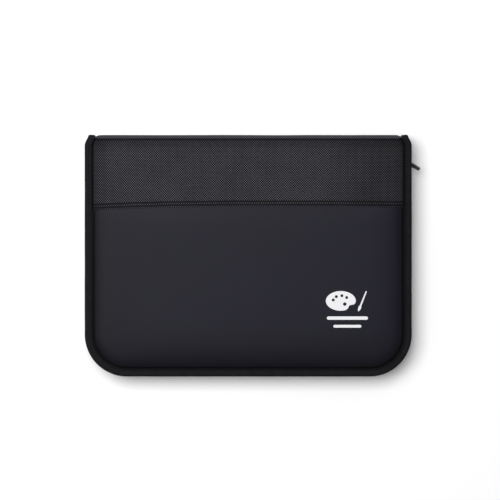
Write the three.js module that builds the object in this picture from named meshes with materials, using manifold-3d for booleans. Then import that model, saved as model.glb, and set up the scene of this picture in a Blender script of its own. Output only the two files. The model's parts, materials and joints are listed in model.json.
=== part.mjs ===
// A zip-round portfolio case for art supplies, closed and lying on its back cover.
// Millimetres, +Z up. The origin is the middle of the back cover's flat outer face.
// +X runs along the spine and +Y points at it. Two padded covers fold about a padded spine,
// a coil zip closes the other three sides, and each half is bound round its rim.
// Each cover is a stack: skin, foam, board and lining, sewn at the rim to its zipper tape.

import * as THREE from "three";
import { mergeVertices } from "three/addons/utils/BufferGeometryUtils.js";
import Module from "manifold-3d";

const wasm = await Module();
wasm.setup();

// ---- driving dimensions ----
const WIDTH = 350; // along the spine, over the bindings
const HEIGHT = 258; // from the spine's face to the far binding
const DEPTH = 28; // closed, over both covers
const CORNER_R = 45; // the two corners away from the spine
const FOLD_CORNER_R = 3; // the two corners beside the spine
const FOLD_Y = 126; // where a cover's layers end at the fold
const SEAM_Y = 51.5; // hem of the woven band across both covers
const SEW_GAP = 0.15; // half the gap between two cloths at a seam
const ARC_STEPS = 9;

// ---- the layers of a cover, as heights above its outer face ----
const CLOTH = 0.8; // skin
const LINING = 0.5;
const BOARD_Z = [3.1, 4.7];
const FOAM_TOP = 2.9;
const PLY_GAP = 0.2;
const LINING_Z = 4.9;

// The skin's outer face: inset from the rim, inset from the fold, height. It crowns inwards.
const SKIN_PROFILE = [
  { side: 34, fold: 18, z: 0 },
  { side: 24, fold: 10, z: 0.12 },
  { side: 17, fold: 6, z: 0.35 },
  { side: 13, fold: 3.5, z: 0.7 },
  { side: 10.5, fold: 2, z: 1.2 },
  { side: 8.6, fold: 0.8, z: 1.7 },
  { side: 0.8, fold: 0, z: 1.7 },
];

// ---- rim: binding folded round skin, lining and zipper tape ----
const BINDING_WIDTH = 8;
const BINDING_PLY = 0.6;
const RIM = { bottom: 0.9, lining: 2.7, tape: 3.4, top: 4.9 };
const BINDING_END_Y = 124;

// ---- zip ----
const TAPE_PLY = 0.8;
const TAPE_FACE = 8.2; // inset of the tape's outside face from the rim
const TAPE_EDGE_Z = DEPTH / 2 - 1.1;
const TAPE_END_Y = 123.5;
const COIL = { face: 8.0, proud: 5.9, z0: 10.6, z1: DEPTH / 2 - 0.6 };
const COIL_START_Y = 113; // left, beside the end gusset
const SLIDER_Y = 101;
const SLIDER_HALF = 5.5;
const STOP_Y = 108.6;
const STOP_LENGTH = 2.4;

// ---- spine ----
const SPINE_HALF_X = 173.5;
const SPINE_HALF_Z = 10.4;
const SPINE_BINDING_HALF_Z = 8;
const GUSSET_REACH = 13; // from the spine's outer face into the case

// ---- pull ----
const PULL_ANGLE = -30; // degrees from +X, hanging towards the far side
const PULL_LENGTH = 15.5;
const PULL_WIDTH = 6.5;
const PULL_PLY = 1.2;
const PULL_BAR_R = 0.6;

// ---- materials ----
const material = (color, roughness, metalness = 0) =>
  new THREE.MeshStandardMaterial({ color, roughness, metalness });
const SMOOTH = material(0x2f2e36, 0.55);
const WOVEN = material(0x37363c, 0.7);
const TAPE = material(0x1e1d21, 0.8);
const LINING_CLOTH = material(0x2a2a2e, 0.85);
const FOAM = material(0x55555a, 0.95);
const BOARD = material(0x8d8a84, 0.9);
const COIL_PLASTIC = material(0x161618, 0.45);
const ELASTIC = material(0x1a1a1c, 0.8);
const METAL = material(0x6b6b70, 0.3, 1);

// ---- geometry helpers ----

// Points of an outline with round corners, given as {x, y, r, from}: centre, radius, first angle.
function cornerPoints(corners, steps = ARC_STEPS) {
  return corners.flatMap(({ x, y, r, from }) =>
    Array.from({ length: steps + 1 }, (_, i) => {
      const a = THREE.MathUtils.degToRad(from + (90 * i) / steps);
      return new THREE.Vector2(x + r * Math.cos(a), y + r * Math.sin(a));
    }),
  );
}

// A cover's outline, inset from the rim by side and from the fold by fold.
function coverOutline(side, fold) {
  const x = WIDTH / 2 - side;
  const top = FOLD_Y - fold;
  const bottom = -HEIGHT / 2 + side;
  const far = CORNER_R - side;
  const near = FOLD_CORNER_R;
  return cornerPoints([
    { x: x - near, y: top - near, r: near, from: 0 },
    { x: -x + near, y: top - near, r: near, from: 90 },
    { x: -x + far, y: bottom + far, r: far, from: 180 },
    { x: x - far, y: bottom + far, r: far, from: 270 },
  ]);
}

// The spine's outline in its own frame: x along it, y up it.
function spineOutline(side, fold) {
  const x = SPINE_HALF_X - side;
  const y = SPINE_HALF_Z - fold;
  const r = 1;
  return cornerPoints(
    [
      { x: x - r, y: y - r, r, from: 0 },
      { x: -x + r, y: y - r, r, from: 90 },
      { x: -x + r, y: -y + r, r, from: 180 },
      { x: x - r, y: -y + r, r, from: 270 },
    ],
    3,
  );
}

function geometryFrom(points, triangles) {
  const position = new Float32Array(points.flatMap((p) => [p.x, p.y, p.z]));
  const geometry = new THREE.BufferGeometry();
  geometry.setAttribute("position", new THREE.BufferAttribute(position, 3));
  const volume = triangles.reduce((sum, [a, b, c]) => {
    const cross = new THREE.Vector3().crossVectors(points[b], points[c]);
    return sum + points[a].dot(cross);
  }, 0);
  const facing = volume > 0 ? triangles : triangles.map(([a, b, c]) => [a, c, b]);
  geometry.setIndex(facing.flat());
  geometry.computeVertexNormals();
  return geometry;
}

// A closed body through rings of equal length, capped at its first and last ring.
// Each ring is {outline, z}; the end outlines are convex.
function ringSolid(rings) {
  const count = rings[0].outline.length;
  const points = rings.flatMap(({ outline, z }) =>
    outline.map((p) => new THREE.Vector3(p.x, p.y, z)),
  );
  const triangles = [];
  for (let ring = 0; ring < rings.length - 1; ring++) {
    for (let i = 0; i < count; i++) {
      const a = ring * count + i;
      const b = ring * count + ((i + 1) % count);
      triangles.push([a, b, b + count], [a, b + count, a + count]);
    }
  }
  const last = (rings.length - 1) * count;
  for (let i = 1; i < count - 1; i++) {
    triangles.push([0, i + 1, i], [last, last + i, last + i + 1]);
  }
  return geometryFrom(points, triangles);
}

// A sheet of even height between a lower profile and the same profile raised by ply.
function sheet(outlineOf, profile, ply) {
  const lower = profile.map(({ side, fold, z }) => ({ outline: outlineOf(side, fold), z }));
  const upper = lower.map(({ outline, z }) => ({ outline, z: z + ply })).reverse();
  return ringSolid([...lower, ...upper]);
}

// A pad whose lower face follows a profile and whose upper face is flat.
function pad(outlineOf, profile, top) {
  const rings = profile.map(({ side, fold, z }) => ({ outline: outlineOf(side, fold), z }));
  return ringSolid([...rings, { outline: rings.at(-1).outline, z: top }]);
}

// Stations round the rim's three zipped sides, from the right end to the left end.
function rimStations(rightY, leftY) {
  const cx = WIDTH / 2 - CORNER_R;
  const cy = -HEIGHT / 2 + CORNER_R;
  const arc = (x, from) =>
    Array.from({ length: ARC_STEPS + 1 }, (_, i) => {
      const a = THREE.MathUtils.degToRad(from - (90 * i) / ARC_STEPS);
      const normal = new THREE.Vector2(Math.cos(a), Math.sin(a));
      return { at: new THREE.Vector2(x, cy).addScaledVector(normal, CORNER_R), normal };
    });
  return [
    { at: new THREE.Vector2(WIDTH / 2, rightY), normal: new THREE.Vector2(1, 0) },
    ...arc(cx, 0),
    ...arc(-cx, -90),
    { at: new THREE.Vector2(-WIDTH / 2, leftY), normal: new THREE.Vector2(-1, 0) },
  ];
}

// Sweeps a closed section of [inset from the rim, height] points round the rim.
function rimSweep(section, rightY, leftY) {
  const stations = rimStations(rightY, leftY);
  const count = section.length;
  const points = stations.flatMap(({ at, normal }) =>
    section.map(([inset, z]) => {
      const p = at.clone().addScaledVector(normal, -inset);
      return new THREE.Vector3(p.x, p.y, z);
    }),
  );
  const triangles = [];
  for (let s = 0; s < stations.length - 1; s++) {
    for (let i = 0; i < count; i++) {
      const a = s * count + i;
      const b = s * count + ((i + 1) % count);
      triangles.push([a, b, b + count], [a, b + count, a + count]);
    }
  }
  const last = (stations.length - 1) * count;
  for (const [a, b, c] of capTriangles(section)) {
    triangles.push([a, c, b], [a + last, b + last, c + last]);
  }
  return geometryFrom(points, triangles);
}

// A section's own triangles, running the same way round as its points.
function capTriangles(section) {
  const contour = section.map(([u, v]) => new THREE.Vector2(u, v));
  const sense = Math.sign(THREE.ShapeUtils.area(contour));
  return THREE.ShapeUtils.triangulateShape(contour, []).map(([a, b, c]) => {
    const area = THREE.ShapeUtils.area([contour[a], contour[b], contour[c]]);
    return Math.sign(area) === sense ? [a, b, c] : [a, c, b];
  });
}

// Extrudes a closed outline of [u, v] points from w0 to w1, in the axes named, such as "yzx":
// u along y, v along z, w along x.
function extrude(outline, w0, w1, axes) {
  const shape = new THREE.Shape(outline.map(([u, v]) => new THREE.Vector2(u, v)));
  const made = new THREE.ExtrudeGeometry(shape, { depth: w1 - w0, bevelEnabled: false });
  made.translate(0, 0, w0);
  const unit = { x: [1, 0, 0], y: [0, 1, 0], z: [0, 0, 1] };
  const [u, v, w] = [...axes].map((letter) => new THREE.Vector3(...unit[letter]));
  return made.applyMatrix4(new THREE.Matrix4().makeBasis(u, v, w));
}

function block(x0, x1, y0, y1, z0, z1) {
  const made = new THREE.BoxGeometry(x1 - x0, y1 - y0, z1 - z0);
  return made.translate((x0 + x1) / 2, (y0 + y1) / 2, (z0 + z1) / 2);
}

function toSolid(geometry) {
  const bare = geometry.clone();
  bare.deleteAttribute("normal");
  bare.deleteAttribute("uv");
  const merged = mergeVertices(bare, 1e-4);
  return new wasm.Manifold(
    new wasm.Mesh({
      numProp: 3,
      vertProperties: merged.attributes.position.array,
      triVerts: new Uint32Array(merged.index.array),
    }),
  );
}

function fromSolid(solid) {
  const { vertProperties, triVerts } = solid.getMesh();
  const geometry = new THREE.BufferGeometry();
  geometry.setAttribute("position", new THREE.BufferAttribute(vertProperties, 3));
  geometry.setIndex(new THREE.BufferAttribute(triVerts, 1));
  geometry.computeVertexNormals();
  return geometry;
}

const join = (...parts) => fromSolid(parts.map(toSolid).reduce((a, b) => a.add(b)));
const cut = (part, ...tools) =>
  fromSolid(tools.map(toSolid).reduce((a, b) => a.subtract(b), toSolid(part)));
const keepInside = (part, tool) => fromSolid(toSolid(part).intersect(toSolid(tool)));

function piece(name, geometry, look) {
  const mesh = new THREE.Mesh(geometry, look);
  mesh.name = name;
  return mesh;
}

// ---- one half of the case: the cover's stack, its binding and its side of the zip ----

const BIG = 400;
const smoothSide = () => block(-BIG, BIG, -BIG, SEAM_Y - SEW_GAP, -BIG, BIG);
const wovenSide = () => block(-BIG, BIG, SEAM_Y + SEW_GAP, BIG, -BIG, BIG);

// The foam stops short of where the lining turns down to the rim.
const FOAM_FOLD = 3;
const foamProfile = SKIN_PROFILE.slice(0, 5).map(({ side, fold, z }) => ({
  side,
  fold: Math.max(fold, FOAM_FOLD),
  z: z + CLOTH + PLY_GAP,
}));

// Up from the rim and over the edge of the board.
const LINING_PROFILE = [
  { side: 10.9, fold: 4, z: LINING_Z },
  { side: 9.3, fold: 2, z: RIM.lining },
  { side: PLY_GAP + BINDING_PLY, fold: 0, z: RIM.lining },
];
function liningSheet() {
  const lower = LINING_PROFILE.map(({ side, fold, z }) => ({
    outline: coverOutline(side, fold),
    z,
  }));
  const drawIn = 0.35; // keeps the cloth's thickness on the slope
  const upper = LINING_PROFILE.map(({ side, fold, z }, i) => ({
    outline: i < 2 ? coverOutline(side - drawIn, fold - drawIn) : lower[i].outline,
    z: z + LINING,
  }));
  return ringSolid([...lower, ...upper.reverse()]);
}

// A C section, open towards the case, as [inset, height] points.
function bindingSection(width) {
  const { bottom, top } = RIM;
  const t = BINDING_PLY;
  return [
    [width, bottom],
    [0.5, bottom],
    [0, bottom + 0.8],
    [0, top - 0.8],
    [0.5, top],
    [width, top],
    [width, top - t],
    [t, top - t],
    [t, bottom + t],
    [width, bottom + t],
  ];
}

// An L section: the flange lies in the seam, and the wall stands up to the zip.
const TAPE_SECTION = [
  [PLY_GAP + BINDING_PLY, RIM.tape],
  [TAPE_FACE + TAPE_PLY, RIM.tape],
  [TAPE_FACE + TAPE_PLY, TAPE_EDGE_Z],
  [TAPE_FACE, TAPE_EDGE_Z],
  [TAPE_FACE, RIM.tape + 0.7],
  [PLY_GAP + BINDING_PLY, RIM.tape + 0.7],
];

const COIL_SECTION = [
  [COIL.face, COIL.z0],
  [COIL.face, COIL.z1],
  [COIL.proud + 0.6, COIL.z1],
  [COIL.proud, COIL.z1 - 0.7],
  [COIL.proud, COIL.z0 + 0.7],
  [COIL.proud + 0.6, COIL.z0],
];

// A staple crimped over the tape's edge; sign picks the side of the case.
function topStop(sign) {
  const inner = WIDTH / 2 - TAPE_FACE - TAPE_PLY;
  const outer = WIDTH / 2 - TAPE_FACE;
  const z0 = 9.8;
  const z1 = TAPE_EDGE_Z + 0.6;
  const section = [
    [inner - 1.3, z0],
    [inner - PLY_GAP, z0],
    [inner - PLY_GAP, TAPE_EDGE_Z + PLY_GAP],
    [outer + PLY_GAP, TAPE_EDGE_Z + PLY_GAP],
    [outer + PLY_GAP, z0],
    [outer + 1.8, z0],
    [outer + 1.8, z1],
    [inner - 1.3, z1],
  ].map(([x, z]) => [z, sign * x]);
  return extrude(section, STOP_Y, STOP_Y + STOP_LENGTH, "zxy");
}

// zipSide is +1 where the zip's closed end is at this half's own +X, and -1 where it is at -X.
function coverHalf(prefix, zipSide, coilEndY) {
  const half = new THREE.Group();
  const skin = sheet(coverOutline, SKIN_PROFILE, CLOTH);
  const board = [11.5, 4.5];
  const coilEnds = zipSide > 0 ? [coilEndY, COIL_START_Y] : [COIL_START_Y, coilEndY];
  const tape = rimSweep(TAPE_SECTION, TAPE_END_Y, TAPE_END_Y);
  half.add(
    piece(`${prefix}_skin_smooth`, keepInside(skin, smoothSide()), SMOOTH),
    piece(`${prefix}_skin_woven`, keepInside(skin, wovenSide()), WOVEN),
    piece(`${prefix}_foam`, pad(coverOutline, foamProfile, FOAM_TOP), FOAM),
    piece(
      `${prefix}_board`,
      ringSolid(BOARD_Z.map((z) => ({ outline: coverOutline(...board), z }))),
      BOARD,
    ),
    piece(`${prefix}_lining`, liningSheet(), LINING_CLOTH),
    piece(
      `${prefix}_binding`,
      rimSweep(bindingSection(BINDING_WIDTH), BINDING_END_Y, BINDING_END_Y),
      TAPE,
    ),
    piece(`${prefix}_zipper_tape`, tape, TAPE),
    piece(`${prefix}_zipper_coil`, rimSweep(COIL_SECTION, ...coilEnds), COIL_PLASTIC),
    piece(`${prefix}_top_stop`, topStop(zipSide), METAL),
  );
  return half;
}

// ---- what is sewn to the linings ----

const ELASTIC_LOOPS = 14;
const ELASTIC_PITCH = 22;
const ELASTIC_WIDTH = 30;
const ELASTIC_ROWS = { upper: 62, lower: -38 }; // middle of each band, in Y

// A webbing sewn down between its loops: flat below, scalloped above.
function elasticBand(y) {
  const low = LINING_Z + LINING + PLY_GAP;
  const start = (-ELASTIC_LOOPS * ELASTIC_PITCH) / 2;
  const crown = [0.8, 1.5, 1.7, 1.5];
  const top = Array.from({ length: ELASTIC_LOOPS * crown.length + 1 }, (_, i) => [
    start + (i * ELASTIC_PITCH) / crown.length,
    low + crown[i % crown.length],
  ]);
  const outline = [[start, low], [-start, low], ...top.reverse()];
  return extrude(outline, -(y + ELASTIC_WIDTH / 2), -(y - ELASTIC_WIDTH / 2), "xzy").scale(1, -1, 1);
}

const POCKET = { side: 17, top: 34, z: 6.1, ply: 0.8 };

// The slip pocket's panel: the far part of the cover's outline, up to its open edge.
function pocketPanel() {
  const outline = coverOutline(POCKET.side, 0);
  const sheetSolid = ringSolid([
    { outline, z: POCKET.z },
    { outline, z: POCKET.z + POCKET.ply },
  ]);
  return keepInside(sheetSolid, block(-BIG, BIG, -BIG, POCKET.top, -BIG, BIG));
}

// Folded over the pocket's open edge.
function pocketBinding() {
  const { top, z, ply } = POCKET;
  const leaf = 0.4;
  const depth = 9;
  const section = [
    [top - depth, z - PLY_GAP - leaf],
    [top + PLY_GAP + leaf, z - PLY_GAP - leaf],
    [top + PLY_GAP + leaf, z + ply + PLY_GAP + leaf],
    [top - depth, z + ply + PLY_GAP + leaf],
    [top - depth, z + ply + PLY_GAP],
    [top + PLY_GAP, z + ply + PLY_GAP],
    [top + PLY_GAP, z - PLY_GAP],
    [top - depth, z - PLY_GAP],
  ];
  const half = WIDTH / 2 - POCKET.side;
  return extrude(section, -half, half, "yzx");
}

// ---- the spine, built flat in its own frame: x along it, y up it, z into the case ----

const SPINE_SKIN = [
  { side: 30, fold: 6, z: 0 },
  { side: 18, fold: 4, z: 0.1 },
  { side: 13, fold: 2.4, z: 0.4 },
  { side: 10.5, fold: 1.4, z: 0.9 },
  { side: 8.6, fold: 0.6, z: 1.5 },
  { side: 0.8, fold: 0, z: 1.7 },
];
const SPINE_FOAM_TOP = 1.9;
const SPINE_BOARD_Z = [2.1, 3.5];
const SPINE_LINING = [
  { side: 10.3, fold: 1.1, z: 3.7 },
  { side: 9.3, fold: 0.6, z: RIM.lining },
  { side: PLY_GAP + BINDING_PLY, fold: 0.2, z: RIM.lining },
];

// The rim's binding, turned to run up the spine's end.
function spineBinding(sign) {
  const width = SPINE_HALF_X - (WIDTH / 2 - TAPE_FACE) - 0.1;
  const section = bindingSection(width).map(([inset, z]) => [z, sign * (SPINE_HALF_X - inset)]);
  return extrude(section, -SPINE_BINDING_HALF_Z, SPINE_BINDING_HALF_Z, "zxy");
}

// A cloth angle in the spine's end seam; its leaf backs the ends of both tapes.
function endGusset(sign) {
  const leaf = WIDTH / 2 - TAPE_FACE - TAPE_PLY - 0.4;
  const outer = SPINE_HALF_X - BINDING_PLY - PLY_GAP;
  const section = [
    [leaf - TAPE_PLY, RIM.tape],
    [outer, RIM.tape],
    [outer, RIM.tape + 0.7],
    [leaf, RIM.tape + 0.7],
    [leaf, GUSSET_REACH],
    [leaf - TAPE_PLY, GUSSET_REACH],
  ].map(([x, z]) => [z, sign * x]);
  return extrude(section, -SPINE_BINDING_HALF_Z, SPINE_BINDING_HALF_Z, "zxy");
}

function spine() {
  const made = new THREE.Group();
  const foam = SPINE_SKIN.slice(0, 3).map((ring) => ({ ...ring, z: ring.z + CLOTH + PLY_GAP }));
  const board = spineOutline(11.5, 1.6);
  made.add(
    piece("spine_skin_woven", sheet(spineOutline, SPINE_SKIN, CLOTH), WOVEN),
    piece("spine_foam", pad(spineOutline, foam, SPINE_FOAM_TOP), FOAM),
    piece("spine_board", ringSolid(SPINE_BOARD_Z.map((z) => ({ outline: board, z }))), BOARD),
    piece("spine_lining", sheet(spineOutline, SPINE_LINING, LINING), LINING_CLOTH),
    piece("spine_binding_right", spineBinding(1), TAPE),
    piece("spine_binding_left", spineBinding(-1), TAPE),
    piece("end_gusset_right", endGusset(1), TAPE),
    piece("end_gusset_left", endGusset(-1), TAPE),
  );
  return made;
}

// ---- slider and pull, in a frame with x out of the case, y towards the closed end and ----
// ---- z up, whose origin is in the middle of the tapes' thickness between the two coils ----

const SLIDER = {
  inner: [-1.9, -0.7], // plate inside the case
  outer: [3.0, 4.2], // plate outside it
  flangeFrom: 0.7,
  channel: 3.7, // half height of the channel that the coils run in
};
const SLIDER_OUTLINE = [
  [-SLIDER_HALF, 4.2],
  [-4.6, 4.6],
  [-1, 4.7],
  [2.4, 5.3],
  [4.2, 4.4],
  [SLIDER_HALF, 2.6],
];

function sliderBody() {
  const mirrored = SLIDER_OUTLINE.map(([y, z]) => [y, -z]).reverse();
  const outline = [...SLIDER_OUTLINE, ...mirrored];
  const side = (sign) => {
    const edge = SLIDER_OUTLINE.slice(0, 4);
    const closed = [...edge, [2.4, SLIDER.channel], [-SLIDER_HALF, SLIDER.channel]];
    const flange = closed.map(([y, z]) => [y, sign * z]);
    return extrude(flange, SLIDER.flangeFrom, SLIDER.outer[0] + 0.1, "yzx");
  };
  return join(
    extrude(outline, ...SLIDER.inner, "yzx"),
    extrude(outline, ...SLIDER.outer, "yzx"),
    side(1),
    side(-1),
    block(SLIDER.inner[1] - 0.1, SLIDER.outer[0] + 0.1, 3.2, 5.2, -0.35, 0.35),
  );
}

const BRIDGE = { foot: SLIDER.outer[1] + 0.02, under: 5.9, top: 6.8, halfY: 4.2, leg: 1.2, halfZ: 1.2 };

// An arch over the pull's bar.
function sliderBridge() {
  const { foot, under, top, halfY, leg, halfZ } = BRIDGE;
  const arch = [
    [foot, -halfY],
    [top - 0.8, -halfY],
    [top, -halfY + 0.8],
    [top, halfY - 0.8],
    [top - 0.8, halfY],
    [foot, halfY],
    [foot, halfY - leg],
    [under, halfY - leg],
    [under, -halfY + leg],
    [foot, -halfY + leg],
  ];
  return extrude(arch, -halfZ, halfZ, "xyz");
}

const PULL_WINDOW = { to: 5.2, halfZ: 1.7 };
const PULL_HOLE = { at: 12.4, r: 1.2 };

// The pull, lying along its own +X from the bar at its origin.
function pullTab() {
  const neck = PULL_WIDTH / 2;
  const tip = neck - 0.6;
  const round = 1.4;
  const edge = [
    [0, neck],
    [6.5, neck],
    [PULL_LENGTH - round, tip],
    [PULL_LENGTH - 0.35, tip - round * 0.6],
    [PULL_LENGTH, tip - round * 1.5],
  ];
  const outline = [...edge, ...edge.map(([x, z]) => [x, -z]).reverse()];
  const plate = extrude(outline, -PULL_PLY / 2, PULL_PLY / 2, "xzy").scale(1, -1, 1);
  const window = block(-1, PULL_WINDOW.to, -2, 2, -PULL_WINDOW.halfZ, PULL_WINDOW.halfZ);
  const hole = new THREE.CylinderGeometry(PULL_HOLE.r, PULL_HOLE.r, 4, 20).translate(PULL_HOLE.at, 0, 0);
  const bar = new THREE.CylinderGeometry(PULL_BAR_R, PULL_BAR_R, 2 * neck, 16).rotateX(Math.PI / 2);
  return join(cut(plate, window, hole), bar);
}

// ---- assembly ----

const backHalf = coverHalf("back", 1, SLIDER_Y + SLIDER_HALF + 1);
backHalf.add(
  piece("brush_elastic_upper", elasticBand(ELASTIC_ROWS.upper), ELASTIC),
  piece("brush_elastic_lower", elasticBand(ELASTIC_ROWS.lower), ELASTIC),
);

// The same half, turned over about the case's middle.
const frontHalf = coverHalf("front", -1, SLIDER_Y - SLIDER_HALF - 0.5);
frontHalf.add(
  piece("pocket_panel", pocketPanel(), LINING_CLOTH),
  piece("pocket_binding", pocketBinding(), TAPE),
);
frontHalf.rotation.y = Math.PI;
frontHalf.position.z = DEPTH;

const spineGroup = spine();
spineGroup.rotation.x = Math.PI / 2;
spineGroup.position.set(0, HEIGHT / 2, DEPTH / 2);

const pull = new THREE.Group();
pull.add(piece("pull_tab", pullTab(), METAL));
pull.position.x = (BRIDGE.foot + BRIDGE.under) / 2;
pull.rotation.z = THREE.MathUtils.degToRad(PULL_ANGLE);

const slider = new THREE.Group();
slider.add(
  piece("slider_body", sliderBody(), METAL),
  piece("slider_bridge", sliderBridge(), METAL),
  pull,
);
slider.position.set(WIDTH / 2 - TAPE_FACE - TAPE_PLY / 2, SLIDER_Y, DEPTH / 2);

const portfolioCase = new THREE.Group();
portfolioCase.add(backHalf, frontHalf, spineGroup, slider);

export default portfolioCase;
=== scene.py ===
"""A zip-round portfolio case, closed and lying on its back cover: the visual pieces and the scene.

Metres, +Z up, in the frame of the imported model. +X runs along the spine and +Y points at it.
A height on either cover is given as a level: how far it lies below that cover's outer face.
"""

import json
import math

import bmesh
import bpy
import numpy as np
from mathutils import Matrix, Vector, noise
from mathutils.bvhtree import BVHTree


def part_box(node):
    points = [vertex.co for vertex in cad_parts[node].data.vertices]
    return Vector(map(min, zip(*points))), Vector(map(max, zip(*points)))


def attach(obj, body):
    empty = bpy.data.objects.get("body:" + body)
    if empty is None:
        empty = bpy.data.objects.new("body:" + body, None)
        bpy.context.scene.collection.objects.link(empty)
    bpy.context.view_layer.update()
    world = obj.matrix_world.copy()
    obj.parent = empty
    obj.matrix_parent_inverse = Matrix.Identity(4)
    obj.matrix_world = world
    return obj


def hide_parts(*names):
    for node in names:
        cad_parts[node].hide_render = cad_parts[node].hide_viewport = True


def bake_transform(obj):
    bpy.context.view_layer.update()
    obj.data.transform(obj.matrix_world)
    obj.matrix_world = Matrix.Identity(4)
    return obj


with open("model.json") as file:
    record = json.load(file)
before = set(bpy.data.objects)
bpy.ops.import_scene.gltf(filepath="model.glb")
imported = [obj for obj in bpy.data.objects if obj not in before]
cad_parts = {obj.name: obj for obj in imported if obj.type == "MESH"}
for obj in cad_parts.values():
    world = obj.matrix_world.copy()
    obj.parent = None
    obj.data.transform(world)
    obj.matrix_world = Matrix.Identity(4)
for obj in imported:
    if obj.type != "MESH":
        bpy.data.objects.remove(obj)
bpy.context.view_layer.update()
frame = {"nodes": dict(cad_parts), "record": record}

MM = 0.001
FRONT, BACK = 1, -1  # which cover a piece belongs to
BODY = {FRONT: "front", BACK: "back"}

# ---- places, from the frame ----
HALF_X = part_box("front_binding")[1].x
FAR_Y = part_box("front_binding")[0].y
FOLD_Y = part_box("front_skin_woven")[1].y
HEM_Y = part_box("front_skin_woven")[0].y + 1.5 * MM  # the turned hem of the woven band
SPINE_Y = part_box("spine_skin_woven")[1].y
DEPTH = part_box("front_skin_smooth")[1].z
MID_Z = DEPTH / 2
CORNER_R = 45 * MM

# ---- levels below a cover's outer face ----
BINDING_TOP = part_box("back_binding")[0].z
BINDING_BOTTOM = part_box("back_binding")[1].z
BINDING_MID = (BINDING_TOP + BINDING_BOTTOM) / 2
LINING_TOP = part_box("back_lining")[1].z
TAPE_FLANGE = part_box("back_zipper_tape")[0].z
TAPE_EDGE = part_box("back_zipper_tape")[1].z

# ---- cover shape ----
BINDING_WIDTH = 8.0 * MM
CREASE = 8.8 * MM  # inset of the groove between the binding and the padding
CREASE_LEVEL = 2.7 * MM
FOLD_LEVEL = 2.5 * MM  # of the crease beside the spine's roll
CROWN_REACH = 50 * MM  # how far in from the crease the padding goes on rising
CROWN_PROUD = {FRONT: 1.3 * MM, BACK: 0.0}  # the back is pressed flat by what it lies on
SKIN = 0.8 * MM

# ---- thread ----
STITCH = 3.2 * MM
THREAD = 0.5 * MM
THREAD_SIDES = 8
STITCH_GAP = 0.22  # of the pitch, between one stitch and the next
SHARP = 50  # degrees across an edge of metal that isn't shaded smooth

PUFF_FRAMES = 16
# Painted shade: the black that the shade attribute darkens the cloth towards.
PAINTED_SHADE_BLACK = (0.001, 0.001, 0.0012)
YARN = (1.22 * MM, 1.315 * MM)  # of the coarse weave, along u and along v


# ---- Mesh building ----


def link(obj):
    """Puts a new object in the scene."""
    bpy.context.scene.collection.objects.link(obj)
    return obj


def make_piece(name, points, faces, uvs, material, shade=None):
    """A mesh object with its cloth coordinates, in metres, in the UV map named cloth.
    shade is the painted shade at each point, from 0 to 1: how dark the cloth is painted in its seams and
    creases."""
    mesh = bpy.data.meshes.new(name)
    mesh.from_pydata([tuple(p) for p in points], [], [tuple(f) for f in faces])
    layer = mesh.uv_layers.new(name="cloth")
    corner = np.array([uvs[loop.vertex_index] for loop in mesh.loops], np.float32)
    layer.data.foreach_set("uv", corner.ravel())
    mesh.polygons.foreach_set("use_smooth", [True] * len(mesh.polygons))
    if shade is not None:
        values = mesh.attributes.new("shade", "FLOAT", "POINT").data
        values.foreach_set("value", np.ravel(shade).astype(np.float32))
    mesh.materials.append(material)
    return link(bpy.data.objects.new(name, mesh))


def grid_faces(rows, columns, flip=False, closed=False):
    """Quads over a rows by columns array of points; closed joins the last column to the first."""
    reach = columns if closed else columns - 1
    quads = []
    for r in range(rows - 1):
        for c in range(reach):
            a, b = r * columns + c, r * columns + (c + 1) % columns
            quads.append((a, b, b + columns, a + columns))
    return [q[::-1] for q in quads] if flip else quads


def grid_uvs(us, vs):
    """Cloth coordinates of a grid of points, u for each column and v for each row."""
    return np.stack(np.meshgrid(us, vs), -1).reshape(-1, 2)


def thicken(obj, thickness):
    """Gives a sheet its thickness, inwards from its drawn face."""
    solid = obj.modifiers.new("thickness", "SOLIDIFY")
    solid.thickness = thickness
    solid.offset = -1.0


def arc_points(cx, cy, radius, start, end, steps=24):
    """Points along an arc, between two angles in degrees."""
    angles = np.radians(np.linspace(start, end, steps))
    return np.stack([cx + radius * np.cos(angles), cy + radius * np.sin(angles)], 1)


def rows_of(vector, count):
    """The same vector in every row."""
    return np.tile(np.array(vector, float), (count, 1))


def lengths(points):
    """How far along a line of points each of them is."""
    step = np.linalg.norm(np.diff(points, axis=0), axis=1)
    return np.concatenate([[0], np.cumsum(step)])


def read_at(wanted, along, rows):
    """Rows that are given at distances along a line, read at the wanted distances."""
    return np.stack([np.interp(wanted, along, rows[:, k]) for k in range(rows.shape[1])], -1)


def resample(points, count):
    """count + 1 points at even steps along a line of points."""
    along = lengths(points)
    return read_at(np.linspace(0, along[-1], count + 1), along, points)


def ring_spans(x0, x1, y0, y1, r_low, r_high, nx, ny):
    """The four sides of a rounded rectangle, each from the middle of one corner to the next."""
    corners = [(x0 + r_low, y0 + r_low, r_low), (x1 - r_low, y0 + r_low, r_low),
               (x1 - r_high, y1 - r_high, r_high), (x0 + r_high, y1 - r_high, r_high)]
    spans = []
    for k, count in enumerate((nx, ny, nx, ny)):
        start = 225 + 90 * k
        first = arc_points(*corners[k], start, start + 45)
        second = arc_points(*corners[(k + 1) % 4], start + 45, start + 90)
        spans.append(resample(np.concatenate([first, second]), count))
    return spans


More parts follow.
